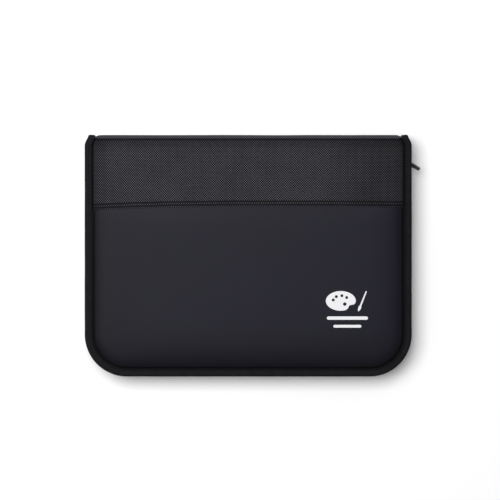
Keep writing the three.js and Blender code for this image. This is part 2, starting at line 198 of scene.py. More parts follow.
def o_grid(insets, tops, top_radius, nx, ny, flip):
    """Points and faces of a panel with a cover's outline: rings that follow it round an even middle.
    Each ring is inset from the rim, outermost first, and its upper side is at its own Y."""
    rings = [(d - HALF_X, HALF_X - d, FAR_Y + d, top, CORNER_R - d, top_radius)
             for d, top in zip(insets, tops)]
    loops = [np.concatenate([s[:-1] for s in ring_spans(*ring, nx, ny)]) for ring in rings]
    count = len(loops[0])
    base = (len(rings) - 1) * count
    index = np.zeros((ny + 1, nx + 1), int)
    index[0, :] = base + np.arange(nx + 1)
    index[:, nx] = base + nx + np.arange(ny + 1)
    index[ny, ::-1] = base + nx + ny + np.arange(nx + 1)
    index[::-1, 0] = base + (2 * nx + ny + np.arange(ny + 1)) % count
    index[1:-1, 1:-1] = base + count + np.arange((nx - 1) * (ny - 1)).reshape(ny - 1, nx - 1)
    low, right, high, left = ring_spans(*rings[-1], nx, ny)
    high, left = high[::-1], left[::-1]
    u, v = (np.arange(1, nx) / nx)[None, :, None], (np.arange(1, ny) / ny)[:, None, None]
    lengthwise = (1 - v) * low[None, 1:-1] + v * high[None, 1:-1]
    crosswise = (1 - u) * left[1:-1, None] + u * right[1:-1, None]
    corners = (1 - v) * ((1 - u) * low[0] + u * low[-1]) + v * ((1 - u) * high[0] + u * high[-1])
    middle = (lengthwise + crosswise - corners).reshape(-1, 2)
    quads = np.stack([index[:-1, :-1], index[:-1, 1:], index[1:, 1:], index[1:, :-1]], -1)
    faces = grid_faces(len(rings), count, closed=True) + quads.reshape(-1, 4).tolist()
    return np.concatenate([*loops, middle]), [f[::-1] for f in faces] if flip else faces


def sweep(name, positions, outward, up, section, material, scale=None, relief=0.0, limit=None, shade=None):
    """A solid: a closed section of (outward, up) points carried along positions.
    outward and up are unit rows. relief is added to the up of each row's section points,
    and limit is the furthest outward that each row may reach."""
    rows, columns = len(positions), len(section)
    section = np.array(section, float)
    across = np.repeat(section[None, :, 0], rows, 0)
    if scale is not None:
        across = across * scale[:, None]
    if limit is not None:
        across = np.minimum(across, limit[:, None])
    lift = section[None, :, 1] + np.zeros((rows, 1)) + relief
    points = positions[:, None] + across[:, :, None] * outward[:, None] + lift[:, :, None] * up[:, None]
    uvs = np.stack(np.meshgrid(lengths(positions), lengths(section), indexing="ij"), -1).reshape(-1, 2)
    faces = grid_faces(rows, columns, closed=True)
    faces += [tuple(range(columns)), tuple(range((rows - 1) * columns, rows * columns))[::-1]]
    return face_outwards(make_piece(name, points.reshape(-1, 3), faces, uvs, material, shade=shade))


def folded(outer, inner):
    """A folded tape's closed section, symmetric about its middle, from (outward, up) points in mm:
    the upper half's outer face, and its inner one."""
    section = outer + [(n, -l) for n, l in outer[::-1]] + [(n, -l) for n, l in inner[::-1]] + inner
    return np.array(section) * MM


def face_outwards(obj, sharp=None):
    """Turns the faces outwards. Edges sharper than sharp, in degrees, break the smooth shading."""
    bm = bmesh.new()
    bm.from_mesh(obj.data)
    bmesh.ops.recalc_face_normals(bm, faces=bm.faces)
    bm.normal_update()
    for edge in bm.edges if sharp else ():
        edge.smooth = len(edge.link_faces) == 2 and edge.calc_face_angle() < math.radians(sharp)
    bm.to_mesh(obj.data)
    bm.free()
    return obj


def tube(name, centre, radial, radius, sides, material):
    """A round wire along a dense line of points; radial is any direction across the line."""
    tangent = np.gradient(centre, axis=0)
    tangent /= np.linalg.norm(tangent, axis=1, keepdims=True)
    normal = radial - (radial * tangent).sum(1, keepdims=True) * tangent
    normal /= np.linalg.norm(normal, axis=1, keepdims=True)
    angles = np.arange(sides) * 2 * math.pi / sides
    section = radius * np.stack([np.cos(angles), np.sin(angles)], 1)
    return sweep(name, centre, normal, np.cross(tangent, normal), section, material)


THREAD_SHAPE = [  # along the stitch, height, and thickness, from one needle hole to the other
    (-0.5, -1.2, 0.35), (-0.46, -0.2, 0.8), (-0.36, 0.55, 0.95), (-0.15, 0.85, 1),
    (0.15, 0.85, 1), (0.36, 0.55, 0.95), (0.46, -0.2, 0.8), (0.5, -1.2, 0.35),
]


def stitches(name, runs, pitch=STITCH, width=THREAD):
    """Threads lying along lines of points, each dipping into the cloth at its ends.
    runs holds (line, normals) pairs."""
    points, faces, uvs = [], [], []
    for line, normals in runs:
        sew(np.array(line, float), np.array(normals, float), pitch, width, points, faces, uvs)
    return face_outwards(make_piece(name, points, faces, uvs, THREAD_LOOK))


def sew(line, normals, pitch, width, points, faces, uvs):
    """Adds one run of stitches to the points, faces and uvs."""
    along = lengths(line)
    count = max(1, int(along[-1] / pitch))
    pitch = along[-1] / count
    for k in range(count):
        middle = (k + 0.5) * pitch
        tangent = read_at(middle + 0.1 * pitch, along, line) - read_at(middle - 0.1 * pitch, along, line)
        tangent /= np.linalg.norm(tangent)
        upward = read_at(middle, along, normals)
        upward /= np.linalg.norm(upward)
        across = np.cross(upward, tangent)
        base = len(points)
        for offset, lift, fat in THREAD_SHAPE:
            s = middle + offset * pitch * (1 - STITCH_GAP)
            centre = read_at(s, along, line) + upward * lift * width * 0.5
            for i in range(THREAD_SIDES):
                a = 2 * math.pi * i / THREAD_SIDES
                points.append(centre + fat * width / 2 * (math.cos(a) * across + math.sin(a) * upward))
                uvs.append((s, i * width / 2))
        quads = grid_faces(len(THREAD_SHAPE), THREAD_SIDES, closed=True)
        faces += [tuple(base + i for i in q) for q in quads]
        faces += [range(base, base + THREAD_SIDES)[::-1], range(len(points) - THREAD_SIDES, len(points))]


def slab(name, outlines, low, high, edge, place, material):
    """A solid plate with rounded edges. outlines are closed lines of (a, b) points: the outer one runs
    anticlockwise, any holes clockwise. place turns rows of (a, b, depth) into points of the scene."""
    steps = [(edge, low), (edge * 0.3, low + edge * 0.3), (0, low + edge),
             (0, high - edge), (edge * 0.3, high - edge * 0.3), (edge, high)]
    points, faces, ends = [], [], {low: [], high: []}
    for outline in outlines:
        flat = np.array(outline, float)
        ahead = np.roll(flat, -1, 0) - np.roll(flat, 1, 0)
        inward = np.stack([-ahead[:, 1], ahead[:, 0]], 1) / np.linalg.norm(ahead, axis=1, keepdims=True)
        base, count = len(points), len(flat)
        for inset, depth in steps:
            points += [(*p, depth) for p in flat + inset * inward]
        faces += [tuple(base + i for i in q) for q in grid_faces(len(steps), count, closed=True)]
        for depth, row in ((low, 0), (high, len(steps) - 1)):
            ends[depth].append(list(range(base + row * count, base + (row + 1) * count)))
    for rims in ends.values():
        bm = filled([[points[i][:2] for i in rim] for rim in rims])
        bm.verts.index_update()
        order = [i for rim in rims for i in rim]
        faces += [tuple(order[v.index] for v in f.verts) for f in bm.faces]
        bm.free()
    obj = make_piece(name, place(np.array(points)), faces, [p[:2] for p in points], material)
    return face_outwards(obj, SHARP)


def filled(outlines):
    """A flat bmesh filled between closed outlines, holes included. Its vertices keep their order."""
    bm = bmesh.new()
    edges = []
    for outline in outlines:
        verts = [bm.verts.new((x, y, 0)) for x, y in outline]
        edges += [bm.edges.new(pair) for pair in zip(verts, verts[1:] + verts[:1])]
    bmesh.ops.triangle_fill(bm, use_beauty=True, edges=edges)
    return bm


def circle(cx, cy, r, steps=24):
    """A closed outline, anticlockwise."""
    turn = [2 * math.pi * i / steps for i in range(steps)]
    return [(cx + r * math.cos(a), cy + r * math.sin(a)) for a in turn]


def rounded(corners, radius, steps=5):
    """A closed outline with its corners rounded off."""
    outline = []
    corners = np.array(corners, float)
    for before, here, after in zip(np.roll(corners, 1, 0), corners, np.roll(corners, -1, 0)):
        start, end = before - here, after - here
        reach = min(radius, np.linalg.norm(start) * 0.45, np.linalg.norm(end) * 0.45)
        start = here + start / np.linalg.norm(start) * reach
        end = here + end / np.linalg.norm(end) * reach
        for t in np.linspace(0, 1, steps):
            outline.append(tuple((1 - t) ** 2 * start + 2 * t * (1 - t) * here + t * t * end))
    return outline


# ---- Where things are on a cover ----


def smooth_step(t):
    """0 below 0 and 1 above 1, with a soft rise between."""
    t = np.clip(t, 0, 1)
    return t * t * (3 - 2 * t)


def rising(distance, start, over):
    """0 up to start, and rising softly to 1 over the given length, both in mm."""
    return smooth_step((distance - start * MM) / (over * MM))


def decay(distance, length):
    """1 up to 0, and falling off over a length in mm."""
    return np.exp(-np.maximum(distance, 0) / (length * MM))


def bell(distance, width):
    """1 at 0, and falling off to both sides over a width in mm."""
    return np.exp(-((distance / (width * MM)) ** 2))


def height(side, level):
    """Z of a level on a cover."""
    return MID_Z + side * (MID_Z - level)


def rim_distance(x, y):
    """How far a point is inside the case's outline, the spine's side left open."""
    x = np.abs(x)
    cx, cy = HALF_X - CORNER_R, FAR_Y + CORNER_R
    corner = CORNER_R - np.hypot(x - cx, cy - y)
    return np.where((x > cx) & (y < cy), corner, np.minimum(HALF_X - x, y - FAR_Y))


def crown(distance, side):
    """Level of the padded face at a distance from the rim."""
    beyond = np.maximum(distance - CREASE, 0)
    edge = 1.6 * MM
    rise = CREASE_LEVEL + CROWN_PROUD[side] - edge
    swell = rise * (1 - (1 - np.minimum(beyond / CROWN_REACH, 1)) ** 4.6)
    return CREASE_LEVEL - swell - edge * (1 - decay(beyond, 2.6))


def fold_level(distance, side):
    """Level of the padded face at a distance from the crease beside the spine."""
    distance = np.maximum(distance, 0)
    edge = 1.3 * MM
    rise = FOLD_LEVEL + CROWN_PROUD[side] - edge
    swell = rise * (1 - (1 - np.minimum(distance / (36 * MM), 1)) ** 4)
    return FOLD_LEVEL - swell - edge * (1 - decay(distance, 1.4))


def seam_shade(distance, shade_beside=0.52):
    """Painted shade beside a crease: its bottom is painted black, and its sides stay shaded for a while."""
    d = np.maximum(distance, 0)
    beside = shade_beside * np.exp(-((d / (9 * MM)) ** 2.2)) + (0.82 - shade_beside) * decay(d, 0.8)
    return np.where(distance < 0, 0.85, beside)


def edge_shade(x, y):
    """Painted shade: the covers are darker towards their left and far edges."""
    from_left, from_far = x + HALF_X - CREASE, y - FAR_Y - CREASE
    left = np.maximum(0.5 * (1 - rising(from_left, 5, 9)), 0.32 * (1 - rising(from_left, 8, 56)))
    return np.maximum(left, 0.26 * (1 - rising(from_far, 18, 36)))


def band_shade(x):
    """Painted shade: the woven band is darker towards its ends, most at the right."""
    return np.maximum(0.2 * (1 - rising(x + HALF_X - CREASE, 5, 20)), 0.36 * rising(x, 60, 95))


def crease_distance(x, inside):
    """Distance from the rim's crease, whose band of painted shade is widest on the right."""
    return inside - CREASE - 1.1 * MM * rising(x, 100, 50)


def arch(x, y):
    """The hem isn't straight: it sags towards its ends, the left one most."""
    sag = -3.6 * MM * np.abs((x - 40 * MM) / (205 * MM)) ** 3
    near = smooth_step(1 - np.abs(y - HEM_Y) / (75 * MM))
    return sag * near


SHOULDER = (118.5 * MM, 129.5 * MM)  # Y where the slope to the spine's narrower end starts and stops
RIM_END = FOLD_Y - 1.9 * MM
CAP_X = HALF_X - 3.4 * MM  # X of the edge where the binding goes over the spine


def neck(y):
    """How far the case's side edges are drawn in near the spine."""
    return (HALF_X - CAP_X) * smooth_step((y - SHOULDER[0]) / (SHOULDER[1] - SHOULDER[0]))


def drawn_in(x, y):
    """X of a cloth's point once its side edge has been drawn in."""
    return x * (1 - neck(y) / HALF_X)


def ripple(x, y, size, seed):
    """Soft noise from -1 to 1 with features of about the given size."""
    flat = [noise.noise(Vector((a / size, b / size, seed))) for a, b in zip(np.ravel(x), np.ravel(y))]
    return np.array(flat).reshape(np.shape(x))


def pucker(x, y, distance):
    """Small gathers that the stitching draws into the cloth beside a seam."""
    along = np.sin(x * 2 * math.pi / (9.5 * MM) + 3 * ripple(x, y, 40 * MM, 4.0))
    across = np.sin(y * 2 * math.pi / (10.5 * MM) + 3 * ripple(x, y, 40 * MM, 8.0))
    return 0.12 * MM * decay(distance, 5) * (along + across) / 2


def puff(obj, pinned, pressure, cap):
    """Cloth simulation: the sheet billows between its seams, which stay where they are.
    pressure pushes it out, and no point moves further than cap."""
    rest = np.array([v.co for v in obj.data.vertices])
    group = obj.vertex_groups.new(name="seams")
    group.add([int(i) for i in np.flatnonzero(pinned)], 1.0, "REPLACE")
    cloth = obj.modifiers.new("cloth", "CLOTH")
    settings = cloth.settings
    settings.vertex_group_mass = "seams"
    settings.quality = 5
    settings.mass = 0.25
    settings.tension_stiffness = 18
    settings.bending_stiffness = 1.2
    settings.use_pressure = True
    settings.uniform_pressure_force = pressure
    settings.effector_weights.gravity = 0
    scene = bpy.context.scene
    scene.frame_start, scene.frame_end = 1, PUFF_FRAMES
    for step in range(1, PUFF_FRAMES + 1):
        scene.frame_set(step)
    simulated = obj.evaluated_get(bpy.context.evaluated_depsgraph_get())
    moved = np.array([v.co for v in simulated.to_mesh().vertices]) - rest
    simulated.to_mesh_clear()
    obj.modifiers.remove(cloth)
    obj.vertex_groups.remove(group)
    scene.frame_set(1)
    length = np.linalg.norm(moved, axis=1, keepdims=True)
    moved *= np.tanh(length / cap) * cap / np.maximum(length, 1e-9)
    obj.data.vertices.foreach_set("co", (rest + moved).astype(np.float32).ravel())
    obj.data.update()


# ---- Materials ----


class Look:
    """A node material being put together round one Principled shader."""

    def __init__(self, name):
        self.material = bpy.data.materials.new(name)
        self.material.use_nodes = True
        self.tree = self.material.node_tree
        self.shader = self.tree.nodes["Principled BSDF"]

    def feed(self, socket, value):
        """Links or sets a socket. None leaves it alone."""
        if isinstance(value, bpy.types.NodeSocket):
            self.tree.links.new(value, socket)
        elif value is not None:
            socket.default_value = value

    def node(self, kind, *inputs, **settings):
        """A new node, with its first inputs fed in their order."""
        made = self.tree.nodes.new(kind)
        for key, value in settings.items():
            setattr(made, key, value)
        for socket, value in zip(made.inputs, inputs):
            self.feed(socket, value)
        return made

    def math(self, operation, *inputs):
        """A Math node's result."""
        return self.node("ShaderNodeMath", *inputs, operation=operation).outputs[0]

    def vector(self, x, y):
        return self.node("ShaderNodeCombineXYZ", x, y).outputs[0]

    def cloth(self):
        """u and v of the cloth, in metres, and both as a place on it."""
        uv = self.node("ShaderNodeUVMap", uv_map="cloth").outputs[0]
        u, v = self.node("ShaderNodeSeparateXYZ", uv).outputs[:2]
        return u, v, self.vector(u, v)

    def place(self):
        """A place on the object, in metres."""
        return self.node("ShaderNodeTexCoord").outputs["Object"]

    def shaded(self, colour):
        """colour, darkened by the painted shade in the shade attribute: in seams, creases and grooves."""
        shade = self.node("ShaderNodeAttribute", attribute_name="shade").outputs["Fac"]
        return self.blend(shade, colour, PAINTED_SHADE_BLACK)

    def noise(self, place, size, detail, roughness=0.5):
        """Soft noise from 0 to 1 with features of about the given size."""
        made = self.node("ShaderNodeTexNoise")
        values = {"Vector": place, "Scale": 1 / size, "Detail": detail, "Roughness": roughness}
        for name, value in values.items():
            self.feed(made.inputs[name], value)
        return made.outputs["Fac"]

    def ramp(self, factor, low, high, from_low=0.0, from_high=1.0):
        """factor mapped from one span to another, held at its ends."""
        return self.node("ShaderNodeMapRange", factor, from_low, from_high, low, high).outputs[0]

    def ridges(self, distance, period):
        """Even ridges along a distance, from 0 to 1."""
        wave = self.math("SINE", self.math("MULTIPLY", distance, 2 * math.pi / period))
        return self.ramp(wave, 0.0, 1.0, -1.0, 1.0)

    def blend(self, factor, a, b):
        """Colour a at factor 0, and b at 1."""
        made = self.node("ShaderNodeMix", data_type="RGBA")
        self.feed(made.inputs["Factor"], factor)
        for name, colour in (("A", a), ("B", b)):
            self.feed(made.inputs[name], (*colour, 1) if isinstance(colour, tuple) else colour)
        return made.outputs["Result"]

    def bump(self, height_socket, distance, strength=1.0, after=None):
        """A normal that follows a height, on top of the normal given as after."""
        made = self.node("ShaderNodeBump")
        values = {"Strength": strength, "Distance": distance, "Height": height_socket, "Normal": after}
        for name, value in values.items():
            self.feed(made.inputs[name], value)
        return made.outputs[0]

    def finish(self, colour, roughness, normal=None, metallic=0.0, specular=0.5):
        """Feeds the shader, and gives the finished material."""
        values = {"Base Color": colour, "Roughness": roughness, "Normal": normal,
                  "Metallic": metallic, "Specular IOR Level": specular}
        for name, value in values.items():
            self.feed(self.shader.inputs[name], value)
        return self.material


def basket_weave(look, u, v, yarn_u, yarn_v):
    """Height of an over-one, under-one weave from 0 to 1, and which yarn is on top, 0 or 1."""
    a, b = look.math("DIVIDE", u, yarn_u), look.math("DIVIDE", v, yarn_v)
    parity = look.math("FLOORED_MODULO", look.math("ADD", look.math("FLOOR", a), look.math("FLOOR", b)), 2.0)
    across_u = look.math("SINE", look.math("MULTIPLY", look.math("FRACT", a), math.pi))
    across_v = look.math("SINE", look.math("MULTIPLY", look.math("FRACT", b), math.pi))

    def yarn(across, along):
        arched = look.math("MULTIPLY_ADD", along, 0.6, 0.4)
        return look.math("MULTIPLY", look.math("POWER", across, 0.6), arched)

    warp = look.math("MULTIPLY", yarn(across_u, across_v), look.math("SUBTRACT", 1.0, parity))
    return look.math("MULTIPLY_ADD", yarn(across_v, across_u), parity, warp), parity


def ballistic_cloth():
    """Coarse black basket weave: one set of yarns has a painted sheen, brightest on its crowns and along its
    twist; the other stays dark.
    """
    look = Look("ballistic_cloth")
    u, v, where = look.cloth()
    v = look.math("MULTIPLY_ADD", look.noise(where, 40 * MM, 1), 0.9 * MM, v)
    top, parity = basket_weave(look, u, v, *YARN)
    lay = look.math("ADD", look.math("DIVIDE", u, YARN[0]), look.math("DIVIDE", v, YARN[1]))
    twist = look.math("COSINE", look.math("MULTIPLY", lay, 2 * math.pi))
    strands = look.noise(look.vector(look.math("MULTIPLY", u, 6.0), v), 0.5 * MM, 2)
    # Painted highlight: the bright yarn colour, brightest on each crown and along the twist, stands in for
    # the sheen on the yarns' tops.
    light = look.blend(strands, (0.143, 0.139, 0.158), (0.256, 0.250, 0.283))
    dark = look.blend(strands, (0.002, 0.002, 0.003), (0.006, 0.006, 0.008))
    crowned = look.ramp(top, 0.0, 1.0, 0.42, 0.90)
    lit = look.math("MULTIPLY", crowned, look.ramp(twist, 0.5, 1.0, -1.0, 1.0))
    cloudy = look.ramp(look.noise(where, 30 * MM, 2), 0.88, 1.12, 0.3, 0.7)
    lit = look.math("MULTIPLY", lit, cloudy)
    colour = look.blend(parity, look.blend(lit, (0.003, 0.003, 0.004), light), dark)
    # Painted highlight: where it rolls over the spine's edges the weave is painted lighter and plainer.
    from_middle = look.math("ABSOLUTE", v)
    rub_marks_and_roll_highlight = look.math("MULTIPLY", look.ramp(from_middle, 0.0, 1.0, 11 * MM, 14 * MM),
                       look.ramp(from_middle, 1.0, 0.0, 15.5 * MM, 18 * MM))
    colour = look.blend(look.math("MULTIPLY", rub_marks_and_roll_highlight, 0.55), colour, (0.075, 0.073, 0.084))
    normal = look.bump(strands, 0.06 * MM, 0.6, look.bump(top, 0.3 * MM))
    return look.finish(look.shaded(colour), 0.6, normal, specular=0.03)


def smooth_cloth():
    """Tight coated nylon: a fine even grain with a faint cool satin."""
    look = Look("smooth_cloth")
    u, v, where = look.cloth()
    grain = basket_weave(look, u, v, 0.34 * MM, 0.34 * MM)[0]
    speck = look.noise(where, 1.4 * MM, 3)
    colour = look.blend(look.noise(where, 60 * MM, 3), (0.0088, 0.0083, 0.0146), (0.0106, 0.0100, 0.0175))
    colour = look.blend(look.ramp(speck, 0.0, 0.35), colour, (0.0128, 0.0121, 0.0198))
    rough = look.ramp(speck, 0.40, 0.50, 0.3, 0.7)
    fine = look.bump(grain, 0.03 * MM, 0.5)
    dents = look.bump(look.noise(where, 7 * MM, 3), 0.12 * MM, 0.35, fine)
    return look.finish(look.shaded(colour), rough, dents, specular=0.10)


def ribbed_tape(name, colour_low, colour_high, rib, along_axis=0):
    """Woven narrow tape, ribbed across its length or along it."""
    look = Look(name)
    *uv, where = look.cloth()
    wobble = look.math("MULTIPLY_ADD", look.noise(where, 3 * MM, 2), 0.3 * MM, uv[along_axis])
    ridge = look.ridges(wobble, rib)
    worn = look.noise(where, 9 * MM, 3)
    colour = look.blend(look.ramp(worn, 0.0, 1.0, 0.3, 0.7), colour_low, colour_high)
    # Painted shade: the troughs between the ribs are darkened towards black.
    colour = look.blend(look.ramp(ridge, 0.5, 0.0, 0.0, 0.6), colour, (0.002, 0.002, 0.002))
    normal = look.bump(worn, 0.25 * MM, 0.3, look.bump(ridge, 0.09 * MM, 0.7))
    return look.finish(look.shaded(colour), 0.7, normal, specular=0.1)


def herringbone_tape():
    """Zipper tape: narrow bands of twill that lean one way and then the other."""
    look = Look("zipper_cloth")
    u, v, where = look.cloth()
    ridge = look.ridges(look.math("ADD", u, look.math("PINGPONG", v, 2.2 * MM)), 0.8 * MM)
    fuzz = look.noise(where, 5 * MM, 3)
    colour = look.blend(ridge, (0.006, 0.006, 0.007), (0.019, 0.018, 0.022))
    colour = look.blend(look.ramp(fuzz, 0.0, 0.4), colour, (0.024, 0.023, 0.027))
    return look.finish(colour, 0.75, look.bump(ridge, 0.12 * MM, 0.8), specular=0.2)


def lining_cloth():
    """Thin matte nylon with a visible fine weave and a few faint creases."""
    look = Look("lining_cloth")
    u, v, where = look.cloth()
    grain, parity = basket_weave(look, u, v, 0.5 * MM, 0.5 * MM)
    colour = look.blend(parity, (0.016, 0.016, 0.019), (0.024, 0.024, 0.028))
    colour = look.blend(look.ramp(look.noise(where, 45 * MM, 3), 0.0, 0.5), colour, (0.030, 0.030, 0.035))
    normal = look.bump(look.noise(where, 16 * MM, 4), 0.5 * MM, 0.35, look.bump(grain, 0.06 * MM, 0.7))
    return look.finish(colour, 0.68, normal, specular=0.25)


def thread_look():
    """Twisted polyester thread."""
    look = Look("thread")
    lay = look.ridges(look.math("ADD", *look.cloth()[:2]), 0.45 * MM)
    colour = look.blend(lay, (0.003, 0.003, 0.004), (0.013, 0.013, 0.016))
    return look.finish(colour, 0.5, look.bump(lay, 0.08 * MM, 0.8), specular=0.2)


def coil_nylon():
    """Moulded black nylon, a little worn."""
    look = Look("coil_nylon")
    wear = look.noise(look.place(), 2.5 * MM, 3)
    colour = look.blend(wear, (0.006, 0.006, 0.007), (0.016, 0.016, 0.018))
    return look.finish(colour, look.ramp(wear, 0.3, 0.5), look.bump(wear, 0.1 * MM, 0.2))


def plated_metal():
    """Dark nickel plating with fine rubbing marks, brighter where edges have been handled."""
    look = Look("plated_metal")
    where = look.place()
    stretch = look.node("ShaderNodeMapping", where)
    stretch.inputs["Scale"].default_value = (1, 7, 1)
    rub_marks_and_roll_highlight = look.noise(stretch.outputs[0], 1.6 * MM, 4)
    edge = look.ramp(look.node("ShaderNodeNewGeometry").outputs["Pointiness"], 0.0, 1.0, 0.5, 0.58)
    colour = look.blend(look.noise(where, 6 * MM, 2), (0.125, 0.123, 0.130), (0.19, 0.19, 0.20))
    colour = look.blend(edge, colour, (0.42, 0.41, 0.40))
    rough = look.ramp(rub_marks_and_roll_highlight, 0.36, 0.50, 0.3, 0.7)
    return look.finish(colour, rough, look.bump(rub_marks_and_roll_highlight, 0.05 * MM, 0.3), metallic=1.0)


def board_look():
    """Grey-brown card."""
    look = Look("board")
    fibre = look.noise(look.place(), 1.2 * MM, 5, 0.65)
    colour = look.blend(fibre, (0.20, 0.185, 0.16), (0.36, 0.34, 0.30))
    return look.finish(colour, 0.88, look.bump(fibre, 0.1 * MM, 0.4), specular=0.25)


def print_ink():
    """Off-white ink, thin in places."""
    look = Look("print_ink")
    worn = look.noise(look.cloth()[2], 1.1 * MM, 4, 0.6)
    colour = look.blend(look.ramp(worn, 0.0, 1.0, 0.3, 0.65), (0.66, 0.66, 0.68), (0.82, 0.82, 0.84))
    return look.finish(colour, 0.55, look.bump(worn, 0.05 * MM, 0.3), specular=0.3)


SMOOTH = smooth_cloth()
WOVEN = ballistic_cloth()
BINDING = ribbed_tape("binding_tape", (0.0056, 0.0053, 0.0074), (0.0098, 0.0093, 0.0124), 0.62 * MM)
ZIP_CLOTH = herringbone_tape()
LINING = lining_cloth()
ELASTIC = ribbed_tape("elastic", (0.009, 0.009, 0.010), (0.018, 0.018, 0.020), 1.0 * MM, along_axis=1)
THREAD_LOOK = thread_look()
COIL = coil_nylon()
METAL = plated_metal()
INK = print_ink()


# ---- The covers' padded skins ----

PANEL_INSETS = [2, 5, 8, 8.8, 9.3, 9.9, 10.6, 11.6, 13, 15, 18, 22, 27, 34, 42]  # mm from the rim
HEM_INSETS = [0, 1.2, 2.2, 3.0, 3.4, 3.9, 4.6, 5.5, 7, 9, 12, 16, 21, 27, 34]  # mm below the tuck
TUCK = 3 * MM  # how far the smooth cloth runs on under the woven one's hem


def seam_dip(below):
    """Extra depth of the smooth cloth where it goes under the hem; below is negative under it."""
    return SKIN * decay(below, 2.4)


def smooth_panel(side):
    """The larger part of a cover's skin, from the rim up to its seam with the woven band."""
    tops = HEM_Y + TUCK - np.array(HEM_INSETS) * MM
    flat, faces = o_grid(np.array(PANEL_INSETS) * MM, tops, 0.5 * MM, nx=78, ny=36, flip=side == BACK)
    x, y = flat.T
    inside, below = rim_distance(x, y), HEM_Y - y
    level = crown(inside, side) + seam_dip(below)
    level = level + pucker(x, y, np.minimum(inside - CREASE, np.abs(below) + 1 * MM))
    level = level - 0.10 * MM * ripple(x, y, 34 * MM, 2.0 + side) * rising(inside - CREASE, 0, 20)
    if side == BACK:
        level = np.maximum(level, 0)
    points = np.stack([x, y + arch(x, y), height(side, level)], 1)
    # Painted shade: dark in the rim's crease, and darker towards the cover's left and far edges.
    shade = 1 - (1 - seam_shade(crease_distance(x, inside))) * (1 - edge_shade(x, y))
    obj = make_piece(f"{BODY[side]}_panel", points, faces, flat, SMOOTH, shade=shade)
    if side == FRONT:
        puff(obj, (inside < CREASE + 0.5 * MM) | (below < 1 * MM), pressure=0.25, cap=0.5 * MM)
    thicken(obj, SKIN)
    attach(obj, BODY[side])
    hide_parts(f"{BODY[side]}_skin_smooth", f"{BODY[side]}_foam")
    return obj


CREASE_Y = FOLD_Y - 1.0 * MM
ROLL_CENTRE = (FOLD_Y + 1.0 * MM, DEPTH - 3.8 * MM)  # of the front fold's roll, in Y and Z
ROLL_RADIUS = (SPINE_Y - FOLD_Y - 0.4 * MM, 2.6 * MM)
ROLL_ANGLES = np.radians([160, 148, 134, 120, 106, 92, 78, 64, 50, 36, 24, 12, 0])
ROLL_SHADED = (1.3, 2.7)  # radians round the roll over which its painted shade rises, from none to darkest
GROOVES = [1.8 * MM, 5.1 * MM]  # the two rows of topstitching, above the hem


def band_columns():
    """X of the woven band's columns, close together where the padding rolls down to the rim."""
    half = HALF_X - np.array(PANEL_INSETS[:-1]) * MM
    middle = np.linspace(-half[-1], half[-1], 70)[1:-1]
    return np.concatenate([-half, middle, half[::-1]])


def band_rows():
    """Y of the rows on the cover, from the hem to the crease at the fold."""
    near = [0, 0.25, 0.7, 1.2, 1.8, 2.4, 3.0, 3.45, 3.9, 4.5, 5.1, 5.7, 6.3, 7.4, 9, 11]
    far = [26, 20, 15, 11.5, 9, 7, 5.4, 4.2, 3.3, 2.5, 1.8, 1.3, 0.8, 0.4, 0]
    low, high = HEM_Y + np.array(near) * MM, CREASE_Y - np.array(far) * MM
    return np.concatenate([low, np.linspace(low[-1], high[0], 16)[1:-1], high])


def groove_at(above):
    """1 in the middle of a groove and 0 away from it."""
    return sum(bell(above - g, 0.62) for g in GROOVES)


def hem_relief(above):
    """Depth added near the hem: two stitched grooves with a welt between, and a turned edge."""
    welt = bell(above - sum(GROOVES) / 2, 1.0)
    return (0.95 * groove_at(above) - 0.22 * welt + 0.45 * decay(above, 0.35)) * MM


def end_tuck(x):
    """How far the spine's cloth goes in under the binding at its ends, from 0 to 1."""
    return rising(np.abs(x) - HALF_X, -12.6, 4)


def band_cover(side, x, y):
    """The woven skin's points on the cover, and its painted shade at each."""
    inside, to_fold, above = HALF_X - np.abs(x), CREASE_Y - y, y - HEM_Y
    level = np.maximum(crown(inside, side), fold_level(to_fold, side))
    near = np.minimum(np.minimum(inside - CREASE, to_fold), above + 2 * MM)
    level = level + hem_relief(above) * rising(inside, 3, 4) + pucker(x, y, near)
    level = level - 0.1 * MM * ripple(x, y, 30 * MM, 6.0 + side)
    if side == BACK:
        level = np.maximum(level, 0)
    # Painted shade in the hem's grooves, beside the rim's and the fold's creases, and towards the band's
    # ends.
    bright = (1 - np.minimum(1.7 * groove_at(above), 0.97)) * (1 - seam_shade(inside - CREASE, 0.12))
    bright = bright * (1 - seam_shade(to_fold, 0.36)) * (1 - band_shade(x))
    points = np.stack([drawn_in(x, y), y + arch(x, y), height(side, level)], -1)
    return points, np.clip(1 - bright, 0, 0.97)


def band_spine(side, xs):
    """Rows of the woven skin's points round the fold's roll and half way down the spine."""
    (centre_y, centre_z), (radius_y, radius_z) = ROLL_CENTRE, ROLL_RADIUS
    wander = 0.3 * MM * ripple(xs, xs * 0, 60 * MM, 12.0)
    reach = radius_y + wander - 1.3 * MM * end_tuck(xs)
    rows = []
    for a in ROLL_ANGLES:
        x = drawn_in(xs, FOLD_Y + (SPINE_Y - FOLD_Y) * math.cos(a / 2))
        rows.append((x, centre_y + reach * math.cos(a), centre_z + radius_z * math.sin(a)))
    for z in np.linspace(centre_z, MID_Z, 9)[1:]:
        bulge = 0.35 * MM * math.sin((centre_z - z) / (centre_z - MID_Z) * math.pi / 2)
        rows.append((drawn_in(xs, SPINE_Y), centre_y + reach + bulge * (1 - end_tuck(xs)), z))
    return np.array([np.stack([x, y, height(side, DEPTH - z) + 0 * xs], 1) for x, y, z in rows])


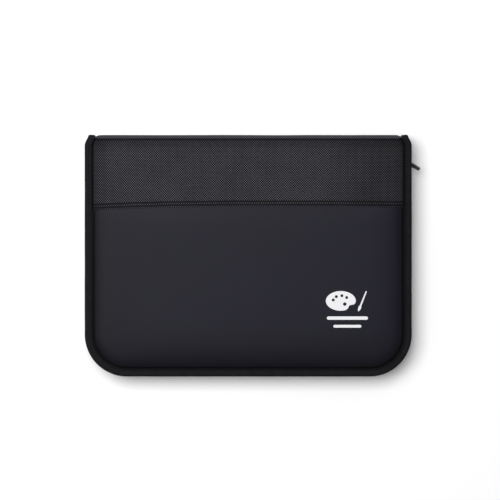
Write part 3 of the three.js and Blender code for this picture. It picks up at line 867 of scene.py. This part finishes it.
def woven_band(side):
    """The woven skin: from the hem over the cover, round the fold, and half way down the spine."""
    xs, ys = band_columns(), band_rows()
    cover, cover_shade = band_cover(side, *np.meshgrid(xs, ys))
    points = np.concatenate([cover, band_spine(side, xs)])
    rows, columns = points.shape[:2]
    shade = np.zeros((rows, columns))
    shade[:len(ys)] = cover_shade
    # Painted shade on the side of the fold's roll that faces the cover.
    start, end = ROLL_SHADED
    rolled = (ROLL_ANGLES[:, None] - start) / (end - start)
    shade[len(ys):len(ys) + len(ROLL_ANGLES)] = 0.85 * smooth_step(rolled)
    along = lengths(points[:, columns // 2])
    uvs = grid_uvs(xs, side * (along - along[-1]))  # v is 0 half way down the spine
    faces = grid_faces(rows, columns, flip=side == BACK)
    obj = make_piece(f"{BODY[side]}_weave", points.reshape(-1, 3), faces, uvs, WOVEN, shade=shade)
    thicken(obj, SKIN)
    over_fold(obj)
    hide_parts(f"{BODY[side]}_skin_woven", "spine_skin_woven", "spine_foam")
    return obj


def over_fold(obj):
    """Bakes a piece's placement into its mesh."""
    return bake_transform(obj)


# ---- Bindings and their stitches ----


def rim_path(inset, right_y, left_y, spacing=4 * MM):
    """Positions and outward normals round the rim at z 0, from the right end to the left one."""
    cx, cy, r = HALF_X - CORNER_R, FAR_Y + CORNER_R, CORNER_R - inset

    def flank(sign, end_y):
        ys = np.linspace(end_y, cy, max(2, int((end_y - cy) / spacing)))[:-1]
        angles = np.concatenate([0 * ys, np.radians(np.linspace(0, -90, CORNER_STEPS))])
        out = np.stack([sign * np.cos(angles), np.sin(angles)], 1)
        middle = np.stack([np.full(len(angles), sign * cx), np.append(ys, np.full(CORNER_STEPS, cy))], 1)
        return middle + r * out, out

    right, right_out = flank(1, right_y)
    left, left_out = flank(-1, left_y)
    far_x = np.linspace(cx, -cx, int(2 * cx / spacing))[1:-1]
    far = np.stack([far_x, np.full(len(far_x), cy - r)], 1)
    positions = np.concatenate([right, far, left[::-1]])
    outs = np.concatenate([right_out, rows_of((0, -1), len(far)), left_out[::-1]])
    zero = np.zeros((len(positions), 1))
    return np.hstack([positions, zero]), np.hstack([outs, zero])


TURN_R = 2.4 * MM  # of the binding's middle where it turns down the spine's end
STITCH_LINE = 5.7 * MM  # inset of the stitches from the binding's edge
HALF_THICK = 2.2 * MM  # of the folded tape
CAP_Y = SPINE_Y + 1.0 * MM  # Y of its outer face there
ALONG = 0.8 * MM  # from one station of the binding to the next
CORNER_STEPS, END_STEPS = 26, 12  # stations round a corner, and up or over a spine's end
END_SCALE = 0.86  # width of the binding up the spine's ends, against its width on the rim
ABOVE = 20 * MM  # where points start that are laid onto a cover


def spine_end(side, sign):
    """The binding's stations up one end of the spine and over the turn: positions, outward, up and scale."""
    start = BINDING_MID + TURN_R
    straight = np.linspace(MID_Z, start, END_STEPS)[:-1]
    turn = np.concatenate([0 * straight, np.radians(np.linspace(0, 86, END_STEPS))])
    level = np.append(straight, np.full(END_STEPS, start)) - TURN_R * np.sin(turn)
    y = CAP_Y - HALF_THICK - TURN_R * (1 - np.cos(turn))
    x = sign * (HALF_X - neck(y + HALF_THICK * np.cos(turn)))
    ups = np.stack([0 * turn, np.cos(turn), side * np.sin(turn)], 1)
    scale = END_SCALE + (1 - END_SCALE) * smooth_step(turn / turn[-1])
    return np.stack([x, y, height(side, level)], 1), rows_of((sign, 0, 0), len(turn)), ups, scale


def binding_stations(side):
    """Positions, outward, up and scale for the binding: up the spine's right end, round the rim and down
    the left end. The last array is True on the rim."""
    rim, rim_out = rim_path(0, RIM_END, RIM_END, ALONG)
    rim[:, 0] -= np.sign(rim[:, 0]) * neck(rim[:, 1])
    rim[:, 2] = height(side, BINDING_MID)
    middle = rim, rim_out, rows_of((0, 0, side), len(rim)), np.ones(len(rim))
    right, left = spine_end(side, 1), [rows[::-1] for rows in spine_end(side, -1)]
    stations = [np.concatenate(parts) for parts in zip(right, middle, left)]
    on_rim = np.concatenate([np.full(len(part[0]), part is middle) for part in (right, middle, left)])
    return *stations, on_rim


def binding_section():
    """A tape folded round the rim, of (outward, up) points."""
    w, seam = BINDING_WIDTH / MM, STITCH_LINE / MM
    outer = [
        (-w, 1.35), (-w + 0.1, 1.85), (-w + 0.45, 2.1), (-w + 1.0, 2.2), (-seam - 0.7, 2.15), (-seam, 1.9),
        (-seam + 0.7, 2.15), (-seam + 1.5, 2.28), (-3.2, 2.3), (-2.3, 2.25), (-1.5, 2.08), (-0.8, 1.72),
        (-0.3, 1.2), (-0.05, 0.6),
    ]
    return folded(outer, [(-0.6, 0.3), (-0.8, 0.9), (-1.5, 1.3), (-2.4, 1.4)])


def binding_relief(positions, section, phase, on_rim):
    """Dimples at the needle holes, the tape's own unevenness, and bulk where it is folded at the corner."""
    away, face = np.sign(section[:, 1]), np.abs(section[:, 1]) > 1.5 * MM
    hole = (0.5 + 0.5 * np.cos(2 * math.pi * phase)) ** 4 * on_rim
    dimples = -0.34 * MM * hole[:, None] * bell(section[:, 0] + STITCH_LINE, 0.75)
    uneven = 0.07 * MM * ripple(positions[:, 0] + 2 * positions[:, 2], positions[:, 1], 11 * MM, 21.0)
    corner = rising(positions[:, 1] - FOLD_Y, -9, 9)
    corner = corner * (1 - 0.5 * (positions[:, 1] > CAP_Y - 3 * MM))
    across, along = np.meshgrid(section[:, 0], positions[:, 1] + positions[:, 2])
    folds = 0.34 * MM * corner[:, None] * ripple(across, along, 3.4 * MM, 24.0)
    return (dimples + uneven[:, None] + folds) * (away * face)[None, :]


def binding_shade(outs, section):
    """Painted shade on the binding: in its crease and at its outer edge, most on the sides away from the
    light.
    """
    from_crease, from_edge = section[:, 0] + BINDING_WIDTH, -section[:, 0]
    away = np.clip(outs[:, 0] - 0.5 * outs[:, 1], 0, 1)[:, None]
    inner = 0.7 * decay(from_crease, 0.9) + 0.6 * away * bell(from_crease, 3.2)
    return np.clip(inner + (0.45 + 0.25 * away) * bell(from_edge, 1.1), 0, 0.92)


def binding(side):
    """The tape round a cover's rim and half way down both ends of the spine, with its stitches."""
    positions, outs, ups, scale, on_rim = binding_stations(side)
    wave = ripple(positions[:, 0] + positions[:, 2], positions[:, 1], 26 * MM, 20.0 + side)
    positions = positions + (0.2 + 0.16 * wave[:, None]) * MM * outs
    sewn = positions - STITCH_LINE * scale[:, None] * outs
    along = lengths(sewn)
    first, last = along[on_rim][0], along[on_rim][-1]
    count = int((last - first) / STITCH)
    phase = (along - first) / (last - first) * count
    section = binding_section()
    relief = binding_relief(positions, section, phase, on_rim)
    shade = binding_shade(outs, section)
    obj = sweep(f"{BODY[side]}_edge_tape", positions, outs, ups, section, BINDING, scale, relief, shade=shade)
    over_fold(obj)
    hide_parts(f"{BODY[side]}_binding", "spine_binding_left", "spine_binding_right")

    runs = [((sewn + 1.9 * MM * ups)[on_rim], ups[on_rim])]
    threads = stitches(f"{BODY[side]}_edge_stitches", runs, pitch=(last - first) / (count + 0.5))
    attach(threads, BODY[side])


def surface_hits(obj, points, direction):
    """Each point moved along direction onto the mesh of obj."""
    tree = BVHTree.FromObject(obj, bpy.context.evaluated_depsgraph_get())
    hits = [tree.ray_cast(Vector(p), Vector(direction))[0] for p in points]
    return np.array([p if hit is None else hit for p, hit in zip(points, hits)], float)


def hem_stitches(side, weave):
    """Two rows along the hem, lying in their grooves."""
    xs = np.linspace(-HALF_X + 9.6 * MM, HALF_X - 9.6 * MM, 160)
    runs = []
    for groove in GROOVES:
        y = HEM_Y + groove + arch(xs, HEM_Y + groove + 0 * xs)
        away = np.stack([xs, y, np.full(len(xs), height(side, -ABOVE))], 1)
        runs.append((surface_hits(weave, away, (0, 0, -side)), rows_of((0, 0, side), len(xs))))
    obj = stitches(f"{BODY[side]}_hem_stitches", runs, pitch=2.35 * MM, width=0.46 * MM)
    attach(obj, BODY[side])
    return obj


# ---- The zip ----

TAPE_FACE = HALF_X - 8.2 * MM  # X of the outside of the tape's wall, on the right
TAPE_INSET = HALF_X - TAPE_FACE
TAPE_PLY = 0.8 * MM
TAPE_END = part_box("back_zipper_tape")[1].y
TURNS = 1.6 * MM  # along the zip from one turn of the coil to the next
WIRE = 0.3 * MM
COIL_INSET = HALF_X - 168.05 * MM
COIL_MID = 12.9 * MM  # level of the turns' middle
COIL_HALF = (0.85 * MM, 1.45 * MM)  # across the tape's face, and up it
TURN_STEPS = 10  # points along the wire, for each turn
SLIDER_Y = (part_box("slider_body")[0].y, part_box("slider_body")[1].y)


def zipper_tape(side):
    """The tape of one cover: a flange under the binding, and a wall that carries the coil."""
    positions, outs = rim_path(0, TAPE_END, TAPE_END, 3 * MM)
    positions[:, 2] = height(side, 0)
    face, low, top = -TAPE_INSET / MM, TAPE_FLANGE / MM, TAPE_EDGE / MM
    back, middle, flange = face - TAPE_PLY / MM, (low + top) / 2, low + 0.7
    section = [
        (-0.9, low), (face, low), (face - 0.5, low + 0.15), (back, low + 0.6), (back, middle),
        (back, top - 0.1), (back + 0.1, top), (face - 0.1, top), (face, top - 0.1), (face, middle),
        (face, flange + 0.4), (face + 0.3, flange), (-0.9, flange),
    ]
    trim = -neck(positions[:, 1]) - 0.9 * MM
    ups = rows_of((0, 0, -side), len(positions))
    section = np.array(section) * MM
    obj = sweep(f"{BODY[side]}_zip_wall", positions, outs, ups, section, ZIP_CLOTH, limit=trim)
    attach(obj, BODY[side])
    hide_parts(f"{BODY[side]}_zipper_tape")
    return obj


def coil(side):
    """The separate turns of one coil; the two coils' turns lie between each other's."""
    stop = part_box(f"{BODY[side]}_top_stop")[0].y
    right_y = SLIDER_Y[0] - 0.8 * MM if side == FRONT else stop - 0.8 * MM
    left_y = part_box(f"{BODY[side]}_zipper_coil")[1].y
    path, outs = rim_path(COIL_INSET, right_y, left_y, 2 * MM)
    along = lengths(path)
    # Both coils count their turns from the left end, so that they mesh.
    from_left = np.arange(0, int(along[-1] / TURNS) * TURN_STEPS) / TURN_STEPS * TURNS
    out = read_at(along[-1] - from_left, along, outs)
    phase = 2 * math.pi * (from_left / TURNS + (0.5 if side == FRONT else 0.0))
    radial = out * np.cos(phase)[:, None]
    centre = read_at(along[-1] - from_left, along, path) + COIL_HALF[0] * radial
    radial[:, 2] = -side * np.sin(phase)
    centre[:, 2] = height(side, COIL_MID + COIL_HALF[1] * np.sin(phase))
    obj = tube(f"{BODY[side]}_coil_turns", centre, radial, WIRE, sides=5, material=COIL)
    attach(obj, BODY[side])
    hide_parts(f"{BODY[side]}_zipper_coil")
    return obj


def coil_stitches(side):
    """The row of thread that holds a coil to its tape."""
    line, outs = rim_path(TAPE_INSET - 0.05 * MM, SLIDER_Y[0] - 1 * MM, 112 * MM, 3 * MM)
    line[:, 2] = height(side, COIL_MID - COIL_HALF[1] - 0.9 * MM)
    obj = stitches(f"{BODY[side]}_coil_stitches", [(line, outs)], pitch=2.4 * MM, width=0.36 * MM)
    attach(obj, BODY[side])
    return obj


def end_gusset(sign):
    """The cloth angle behind the ends of the tapes, turned in at the spine's end."""
    low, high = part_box("end_gusset_right")
    outer, leaf, near, far = CAP_X / MM - 1.2, low.x / MM, high.y / MM, low.y / MM
    back, middle = leaf + 0.8, (near + far) / 2
    z = np.linspace(low.z, high.z, 14)
    positions = np.stack([0 * z, 0 * z, z], 1)
    section = np.array([
        (outer, near), (leaf + 0.9, near), (leaf + 0.25, near - 0.2), (leaf, near - 0.9),
        (leaf - 0.25, middle), (leaf, far), (back, far), (back - 0.2, middle), (back, near - 0.9),
        (back + 0.15, near - 0.7), (outer, near - 0.7),
    ]) * MM
    side_name = "right" if sign > 0 else "left"
    outs, ups = rows_of((sign, 0, 0), len(z)), rows_of((0, 1, 0), len(z))
    obj = sweep(f"zip_end_cloth_{side_name}", positions, outs, ups, section, ZIP_CLOTH)
    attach(obj, "spine")
    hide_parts(f"end_gusset_{side_name}")
    return obj


# ---- Inside ----

LINING_PLY = 0.5 * MM
RIM_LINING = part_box("back_lining")[0].z
LINING_INSETS = [1.0, 4, 7, 9.1, 9.6, 10.2, 10.9, 11.6, 13, 17, 24, 33]  # mm from the rim
LINING_DROPS = [0.3, 1, 1.7, 2.2, 2.6, 3, 3.4, 3.9, 5, 8, 14, 22]  # mm below the fold
FOLD_STRIP = [(2.2, 4.25), (1.6, 4.35), (1.1, 4.7), (0.9, 5.2)]  # mm below the fold, and level in mm


def lining(side):
    """Lining of a cover, over the edge of its board, up to the fold."""
    tops = FOLD_Y - np.array(LINING_DROPS) * MM
    flat, faces = o_grid(np.array(LINING_INSETS) * MM, tops, 1 * MM, nx=60, ny=44, flip=side == FRONT)
    x, y = flat.T
    inside, to_fold = rim_distance(x, y), FOLD_Y - y
    climb = np.minimum(rising(inside, 9, 1.9), rising(to_fold, 1.9, 1.8))
    valley = np.minimum(rising(inside, 6, 2.5), rising(to_fold, -2, 2.5))
    base = RIM_LINING + LINING_PLY + 0.9 * MM * valley
    level = base + (LINING_TOP - base) * climb
    free = np.minimum(rising(inside, 11, 15), rising(to_fold, 4, 15))
    level = level + 0.1 * MM * free * (1 + ripple(x, y, 25 * MM, 30.0 + side))
    points = np.stack([drawn_in(x, y), y, height(side, level)], 1)
    obj = make_piece(f"{BODY[side]}_lining_cloth", points, faces, flat, LINING)
    thicken(obj, LINING_PLY)
    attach(obj, BODY[side])
    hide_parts(f"{BODY[side]}_lining")
    return obj


def spine_lining(side):
    """Half of the spine's lining and the strip that joins it to a cover's."""
    xs = np.linspace(-HALF_X + 9.2 * MM, HALF_X - 9.2 * MM, 70)
    inner_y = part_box("spine_lining")[0].y
    rows = [(FOLD_Y - back * MM, level * MM) for back, level in FOLD_STRIP]
    rows += [(inner_y, level * MM) for level in (5.9, 6.5, 9, 11.5)] + [(inner_y, MID_Z)]
    points = np.array([[(x, y, height(side, level)) for x in xs] for y, level in rows])
    v = lengths(points[:, 0])
    faces = grid_faces(len(rows), len(xs), flip=side == FRONT)
    obj = make_piece(f"{BODY[side]}_fold_lining", points.reshape(-1, 3), faces, grid_uvs(xs, v), LINING)
    thicken(obj, LINING_PLY)
    over_fold(obj)
    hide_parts("spine_lining")
    return obj


LOOPS = 14


def brush_elastic(row):
    """Webbing sewn down between its loops, each loop bowed up a little."""
    low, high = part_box(f"brush_elastic_{row}")
    pitch = (high.x - low.x) / LOOPS
    xs = np.linspace(low.x, high.x, LOOPS * 10 + 1)
    ys = np.linspace(low.y, high.y, 9)
    x, y = np.meshgrid(xs, ys)
    bow = np.abs(np.sin((x - low.x) / pitch * math.pi)) ** 0.55
    edge = 1 - 0.12 * np.abs((y - (low.y + high.y) / 2) / ((high.y - low.y) / 2)) ** 3
    z = low.z + 0.75 * MM + (high.z - low.z - 0.8 * MM) * bow * edge
    points = np.stack([x, y, z], -1).reshape(-1, 3)
    faces = grid_faces(len(ys), len(xs))
    obj = make_piece(f"elastic_loops_{row}", points, faces, grid_uvs(xs, ys), ELASTIC)
    thicken(obj, 0.7 * MM)
    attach(obj, "back")
    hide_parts(f"brush_elastic_{row}")
    runs = []
    for k in range(LOOPS + 1):
        at = min(max(low.x + k * pitch, low.x + 1.2 * MM), high.x - 1.2 * MM)
        ends = [(at, y, low.z + 0.82 * MM) for y in (low.y + 1 * MM, high.y - 1 * MM)]
        runs.append((ends, [(0, 0, 1), (0, 0, 1)]))
    bars = stitches(f"elastic_bars_{row}", runs, pitch=2.6 * MM)
    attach(bars, "back")


def pocket():
    """The slip pocket on the front cover's lining, with its bound top edge."""
    low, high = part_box("pocket_panel")
    inset = HALF_X - high.x
    steps = np.array([0, 0.6, 1.6, 3, 6, 12, 20]) * MM
    flat, faces = o_grid(inset + steps, high.y - 0.4 * steps, 0.3 * MM, nx=56, ny=30, flip=True)
    x, y = flat.T
    free = rising(rim_distance(x, y) - inset, 0, 14)
    level = DEPTH - low.z + 0.25 * MM * free * ripple(x, y, 45 * MM, 50.0)
    points = np.stack([x, y, height(FRONT, level)], 1)
    obj = make_piece("pocket_cloth", points, faces, flat, LINING)
    thicken(obj, 0.6 * MM)
    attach(obj, "front")
    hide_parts("pocket_panel")
    flat = (high.x - low.x, high.y - low.y)
    pocket_edge()


def pocket_edge():
    """The folded tape on the pocket's open edge, with its stitches."""
    low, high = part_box("pocket_binding")
    xs = np.linspace(low.x, high.x, 60)
    y = high.y - 0.25 * MM * (1 - (xs / high.x) ** 2)
    positions = np.stack([xs, y, 0 * xs + (low.z + high.z) / 2], 1)
    outs, ups = rows_of((0, 1, 0), len(xs)), rows_of((0, 0, 1), len(xs))
    w, t = (high.y - low.y) / MM, (high.z - low.z) / 2 / MM
    outer = [(-w, t - 0.4), (-w + 0.2, t), (-w + 2, t), (-w + 2.6, t - 0.1), (-w + 3.2, t), (-1.2, t),
             (-0.3, t - 0.25), (0, 0.2)]
    section = folded(outer, [(-0.6, 0.3), (-1.2, t - 0.4)])
    obj = sweep("pocket_edge_tape", positions, outs, ups, section, BINDING)
    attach(obj, "front")
    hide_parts("pocket_binding")
    line = np.stack([xs, y - high.y + low.y + 2.6 * MM, 0 * xs + low.z + 0.1 * MM], 1)
    row = stitches("pocket_edge_stitches", [(line, -ups)])
    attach(row, "front")


# ---- Metal, hidden layers and the printed mark ----


def dress_cad_nodes():
    """The boards stay as they are, sealed between the padding and the lining."""
    look = board_look()
    for node in ("back_board", "spine_board", "front_board"):
        frame["nodes"][node].data.materials[0] = look


def axes(origin, a, b, depth):
    """Turns rows of (a, b, depth) into points, along the three given directions."""
    basis = np.array([a, b, depth], float)
    return lambda rows: rows @ basis + np.array(origin, float)


# In the slider's frame: a runs along the zip to its closed end, b up, and depth out of the case.
SLIDER_PLATE = [  # the right half of the outline, b >= 0
    (-5.5, 0), (-5.5, 2.6), (-5.3, 4.0), (-4.5, 4.65), (-3.0, 4.7), (-1.0, 4.75), (0.8, 5.0), (2.3, 5.3),
    (3.4, 5.1), (4.4, 4.3), (5.2, 3.2), (5.5, 2.2), (5.5, 1.0),
]


def slider():
    """The slider's two plates, the lips that fold in from the outer one, and the post between them."""
    low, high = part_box("slider_body")
    place = axes((low + high) / 2, (0, 1, 0), (0, 0, 1), (1, 0, 0))
    half, ply = (high.x - low.x) / 2, 1.25 * MM
    upper = np.array(SLIDER_PLATE) * MM
    outline = np.concatenate([upper, (upper * [1, -1])[::-1][:-1]])[::-1]
    outer = slab("slider_outer_plate", [outline], half - ply, half, 0.4 * MM, place, METAL)
    inner = slab("slider_inner_plate", [outline], -half, -half + ply, 0.4 * MM, place, METAL)
    lips = []
    for sign, name in ((1, "upper"), (-1, "lower")):
        lip = rounded([(-5.3, 3.7), (2.2, 3.7), (1.6, 4.9), (-1.0, 4.7), (-4.9, 4.55)], 0.3)
        lip, reach = (np.array(lip) * MM * [1, sign])[::sign], (half - 3.4 * MM, half - ply + 0.3 * MM)
        lips.append(slab(f"slider_flange_{name}", [lip], *reach, 0.2 * MM, place, METAL))
    wedge = np.array(rounded([(2.6, -0.5), (5.2, -0.5), (5.2, 0.5), (2.6, 0.5)], 0.35)) * MM
    post = slab("slider_post", [wedge], -half + 0.9 * MM, half - 0.9 * MM, 0.1 * MM, place, METAL)
    for piece in (*lips, outer, inner, post):
        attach(piece, "slider")
    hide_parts("slider_body")


def bridge():
    """The bent strap over the pull's bar."""
    low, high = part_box("slider_bridge")
    place = axes((low.x, (low.y + high.y) / 2, (low.z + high.z) / 2), (1, 0, 0), (0, 1, 0), (0, 0, 1))
    reach, half, thick = high.x - low.x, (high.y - low.y) / 2, (high.z - low.z) / 2
    leg, strap = half - 1.2 * MM, reach - 0.85 * MM
    outer = rounded([(0, -half), (reach, -half), (reach, half), (0, half)], 1.5 * MM, 8)[8:24]
    inner = rounded([(0, leg), (strap, leg), (strap, -leg), (0, -leg)], 0.8 * MM, 8)[8:24]
    outline = [(0, -half), *outer, (0, half), (0, leg), *inner, (0, -leg)]
    obj = slab("slider_strap", [outline], -thick, thick, 0.28 * MM, place, METAL)
    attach(obj, "slider")
    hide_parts("slider_bridge")
    return obj


PULL_LEAN = 34  # degrees that the loose pull leans over about its own length


def pull():
    """The pull: a plate with a window over its bar, hanging out from the bridge."""
    swing = next(j for j in frame["record"]["behaviour"]["joints"] if j["name"] == "pull_swing")
    low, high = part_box("pull_tab")
    angle, lean = math.radians(-30), math.radians(PULL_LEAN)
    along = np.array([math.cos(angle), math.sin(angle), 0])
    flat = np.array([-math.sin(angle), math.cos(angle), 0])
    across = math.cos(lean) * np.array([0, 0, 1]) + math.sin(lean) * flat
    place = axes(swing["pos_m"], along, across, np.cross(along, across))
    half, length = (high.z - low.z) / 2, 15.4 * MM
    edge = [(-0.6 * MM, -half + 0.5 * MM), (1.5 * MM, -half), (6.5 * MM, -half), (length, -half + 0.7 * MM)]
    outer = edge + [(a, -b) for a, b in edge[::-1]]
    window = np.array([(0.65, -1.75), (5.2, -1.75), (5.2, 1.75), (0.65, 1.75)]) * MM
    outlines = [rounded(outer, 1.6 * MM, 6), rounded(window, 0.7 * MM)[::-1]]
    obj = slab("pull_plate", outlines, -0.6 * MM, 0.6 * MM, 0.25 * MM, place, METAL)
    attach(obj, "pull")
    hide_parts("pull_tab")
    return obj


def top_stop(side):
    """A staple crimped over the end of the tape's edge."""
    low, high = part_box(f"{BODY[side]}_top_stop")
    middle, tip = (low.x + high.x) / 2, low.z if side == FRONT else high.z
    place = axes((middle, low.y, tip), (1, 0, 0), (0, 0, side), (0, 1, 0))
    half, tall, wall = (high.x - low.x) / 2, high.z - low.z, 0.75 * MM
    gap_in, gap_out = TAPE_FACE - TAPE_PLY - middle - 0.1 * MM, TAPE_FACE - middle + 0.1 * MM
    outer = rounded([(-half, tall), (-half, 0), (half, 0), (half, tall)], 0.9 * MM, 7)
    inner = rounded([(gap_out, tall), (gap_out, wall), (gap_in, wall), (gap_in, tall)], 0.3 * MM, 5)
    obj = slab(f"{BODY[side]}_stop_staple", [outer + inner], 0, high.y - low.y, 0.2 * MM, place, METAL)
    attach(obj, BODY[side])
    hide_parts(f"{BODY[side]}_top_stop")
    return obj


MARK_X, MARK_Y = 106 * MM, -48 * MM  # middle of the printed palette and brush


def palette_outline():
    """A painter's palette: an oval with a bite out of its lower right."""
    outline = []
    for i in range(64):
        a = 2 * math.pi * i / 64
        bite = 3.4 * MM * math.exp(-((math.degrees(a) - 318) / 17) ** 2)
        outline.append(((16 * MM - bite) * math.cos(a), (10.5 * MM - bite) * math.sin(a)))
    return outline


def bar(x0, x1, y0, y1):
    """A bar with round ends."""
    r = (y1 - y0) / 2
    right = arc_points(x1 - r, (y0 + y1) / 2, r, -90, 90, 8)
    left = arc_points(x0 + r, (y0 + y1) / 2, r, 90, 270, 8)
    return [tuple(p) for p in np.concatenate([right, left])]


def mark_outlines():
    """The printed mark's separate shapes: a palette with its holes, a brush, and two plain bars."""
    wells = [circle(8.2 * MM * math.cos(a), 5.6 * MM * math.sin(a), 1.6 * MM, 16)
             for a in np.radians([40, 82, 126, 170])]
    thumb = circle(4.2 * MM, -3.4 * MM, 1.9 * MM)
    palette = [[(x - 7 * MM, y) for x, y in outline] for outline in (palette_outline(), thumb, *wells)]
    half = [(0.0, 0.0), (1.3, 2.6), (1.6, 5.2), (0.9, 6.8), (0.65, 23.5)]
    shaft = np.array(half + [(-x, y) for x, y in half[:0:-1]]) * MM
    turn = math.radians(-22)
    spin = np.array([[math.cos(turn), -math.sin(turn)], [math.sin(turn), math.cos(turn)]])
    brush = [tuple(p) for p in shaft @ spin.T + np.array([11.5 * MM, -11.5 * MM])]
    wide = bar(-22 * MM, 22 * MM, -20.2 * MM, -16.6 * MM)
    narrow = bar(-15 * MM, 15 * MM, -28.6 * MM, -25.6 * MM)
    return [palette, [brush], [wide], [narrow]]


def printed_mark(panel):
    """A generic palette and brush over two plain bars, printed on the front cover."""
    points, faces = [], []
    for outlines in mark_outlines():
        bm = filled(outlines)
        bmesh.ops.subdivide_edges(bm, edges=[e for e in bm.edges if e.calc_length() > 5 * MM], cuts=2)
        bmesh.ops.triangulate(bm, faces=bm.faces)
        base = len(points)
        bm.verts.index_update()
        points += [(v.co.x + MARK_X, v.co.y + MARK_Y, DEPTH + ABOVE) for v in bm.verts]
        for f in bm.faces:
            ids = [base + v.index for v in f.verts]
            faces.append(ids if f.normal.z > 0 else ids[::-1])
        bm.free()
    uvs = [p[:2] for p in points]
    landed = surface_hits(panel, points, (0, 0, -1)) + np.array([0, 0, 0.07 * MM])
    obj = make_piece("printed_mark", landed, faces, uvs, INK)
    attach(obj, "front")
    return obj


# ---- Scene ----

VIEW_WIDTH = 535 * MM  # across the picture at the front cover
VIEW_CENTRE = (1.9 * MM, 6.4 * MM)
LENS, SENSOR = 135, 36
FLOOR_HALF = 4.0
SOFTBOX_AT, SOFTBOX_SIZE, SOFTBOX_WATTS = (-0.8, 0.68, 2.3), (1.9, 1.65), 66
WALLS, CEILING = 0.85, 0.12  # strength of the light from low and from straight above


def camera():
    """Straight above the front cover."""
    data = bpy.data.cameras.new("camera")
    data.lens, data.sensor_width = LENS, SENSOR
    cam = link(bpy.data.objects.new("camera", data))
    cam.location = (*VIEW_CENTRE, DEPTH + VIEW_WIDTH * LENS / SENSOR)
    bpy.context.scene.camera = cam


def softbox():
    """The one lamp: a large box facing straight down, to the left of the spine."""
    data = bpy.data.lights.new("softbox", "AREA")
    data.shape = "RECTANGLE"
    data.size, data.size_y = SOFTBOX_SIZE
    data.energy = SOFTBOX_WATTS
    link(bpy.data.objects.new("softbox", data)).location = SOFTBOX_AT


def studio_walls():
    """Pale walls round the set and a dark ceiling over it, as the world's light."""
    world = bpy.data.worlds.new("studio")
    bpy.context.scene.world = world
    world.use_nodes = True
    tree = world.node_tree
    background = tree.nodes["Background"]
    background.inputs["Color"].default_value = (1, 1, 1, 1)
    way = tree.nodes.new("ShaderNodeTexCoord")
    split = tree.nodes.new("ShaderNodeSeparateXYZ")
    fall = tree.nodes.new("ShaderNodeMapRange")
    for name, value in {"From Min": 0.15, "From Max": 0.95, "To Min": WALLS, "To Max": CEILING}.items():
        fall.inputs[name].default_value = value
    tree.links.new(way.outputs["Generated"], split.inputs[0])
    tree.links.new(split.outputs["Z"], fall.inputs["Value"])
    tree.links.new(fall.outputs[0], background.inputs["Strength"])


def studio_floor():
    """Plain pale paper, just below the case."""
    look = Look("studio_floor")
    paper = look.noise(look.place(), 0.3, 2)
    look.finish(look.blend(paper, (0.955, 0.955, 0.955), (0.975, 0.975, 0.975)), 0.9, specular=0.1)
    mesh = bpy.data.meshes.new("studio_floor")
    corners = [(FLOOR_HALF * x, FLOOR_HALF * y, 0) for x, y in ((-1, -1), (1, -1), (1, 1), (-1, 1))]
    mesh.from_pydata(corners, [], [(0, 1, 2, 3)])
    mesh.materials.append(look.material)
    floor = link(bpy.data.objects.new("studio_floor", mesh))
    floor.location.z = -0.2 * MM


# ---- Build ----

dress_cad_nodes()
for cover in (FRONT, BACK):
    panel = smooth_panel(cover)
    weave = woven_band(cover)
    binding(cover)
    hem_stitches(cover, weave)
    zipper_tape(cover)
    coil(cover)
    coil_stitches(cover)
    lining(cover)
    spine_lining(cover)
    if cover == FRONT:
        printed_mark(panel)
    top_stop(cover)
end_gusset(1)
end_gusset(-1)
slider()
bridge()
pull()
brush_elastic("upper")
brush_elastic("lower")
pocket()

camera()
softbox()
studio_walls()
studio_floor()
bpy.context.scene.view_settings.view_transform = "Standard"
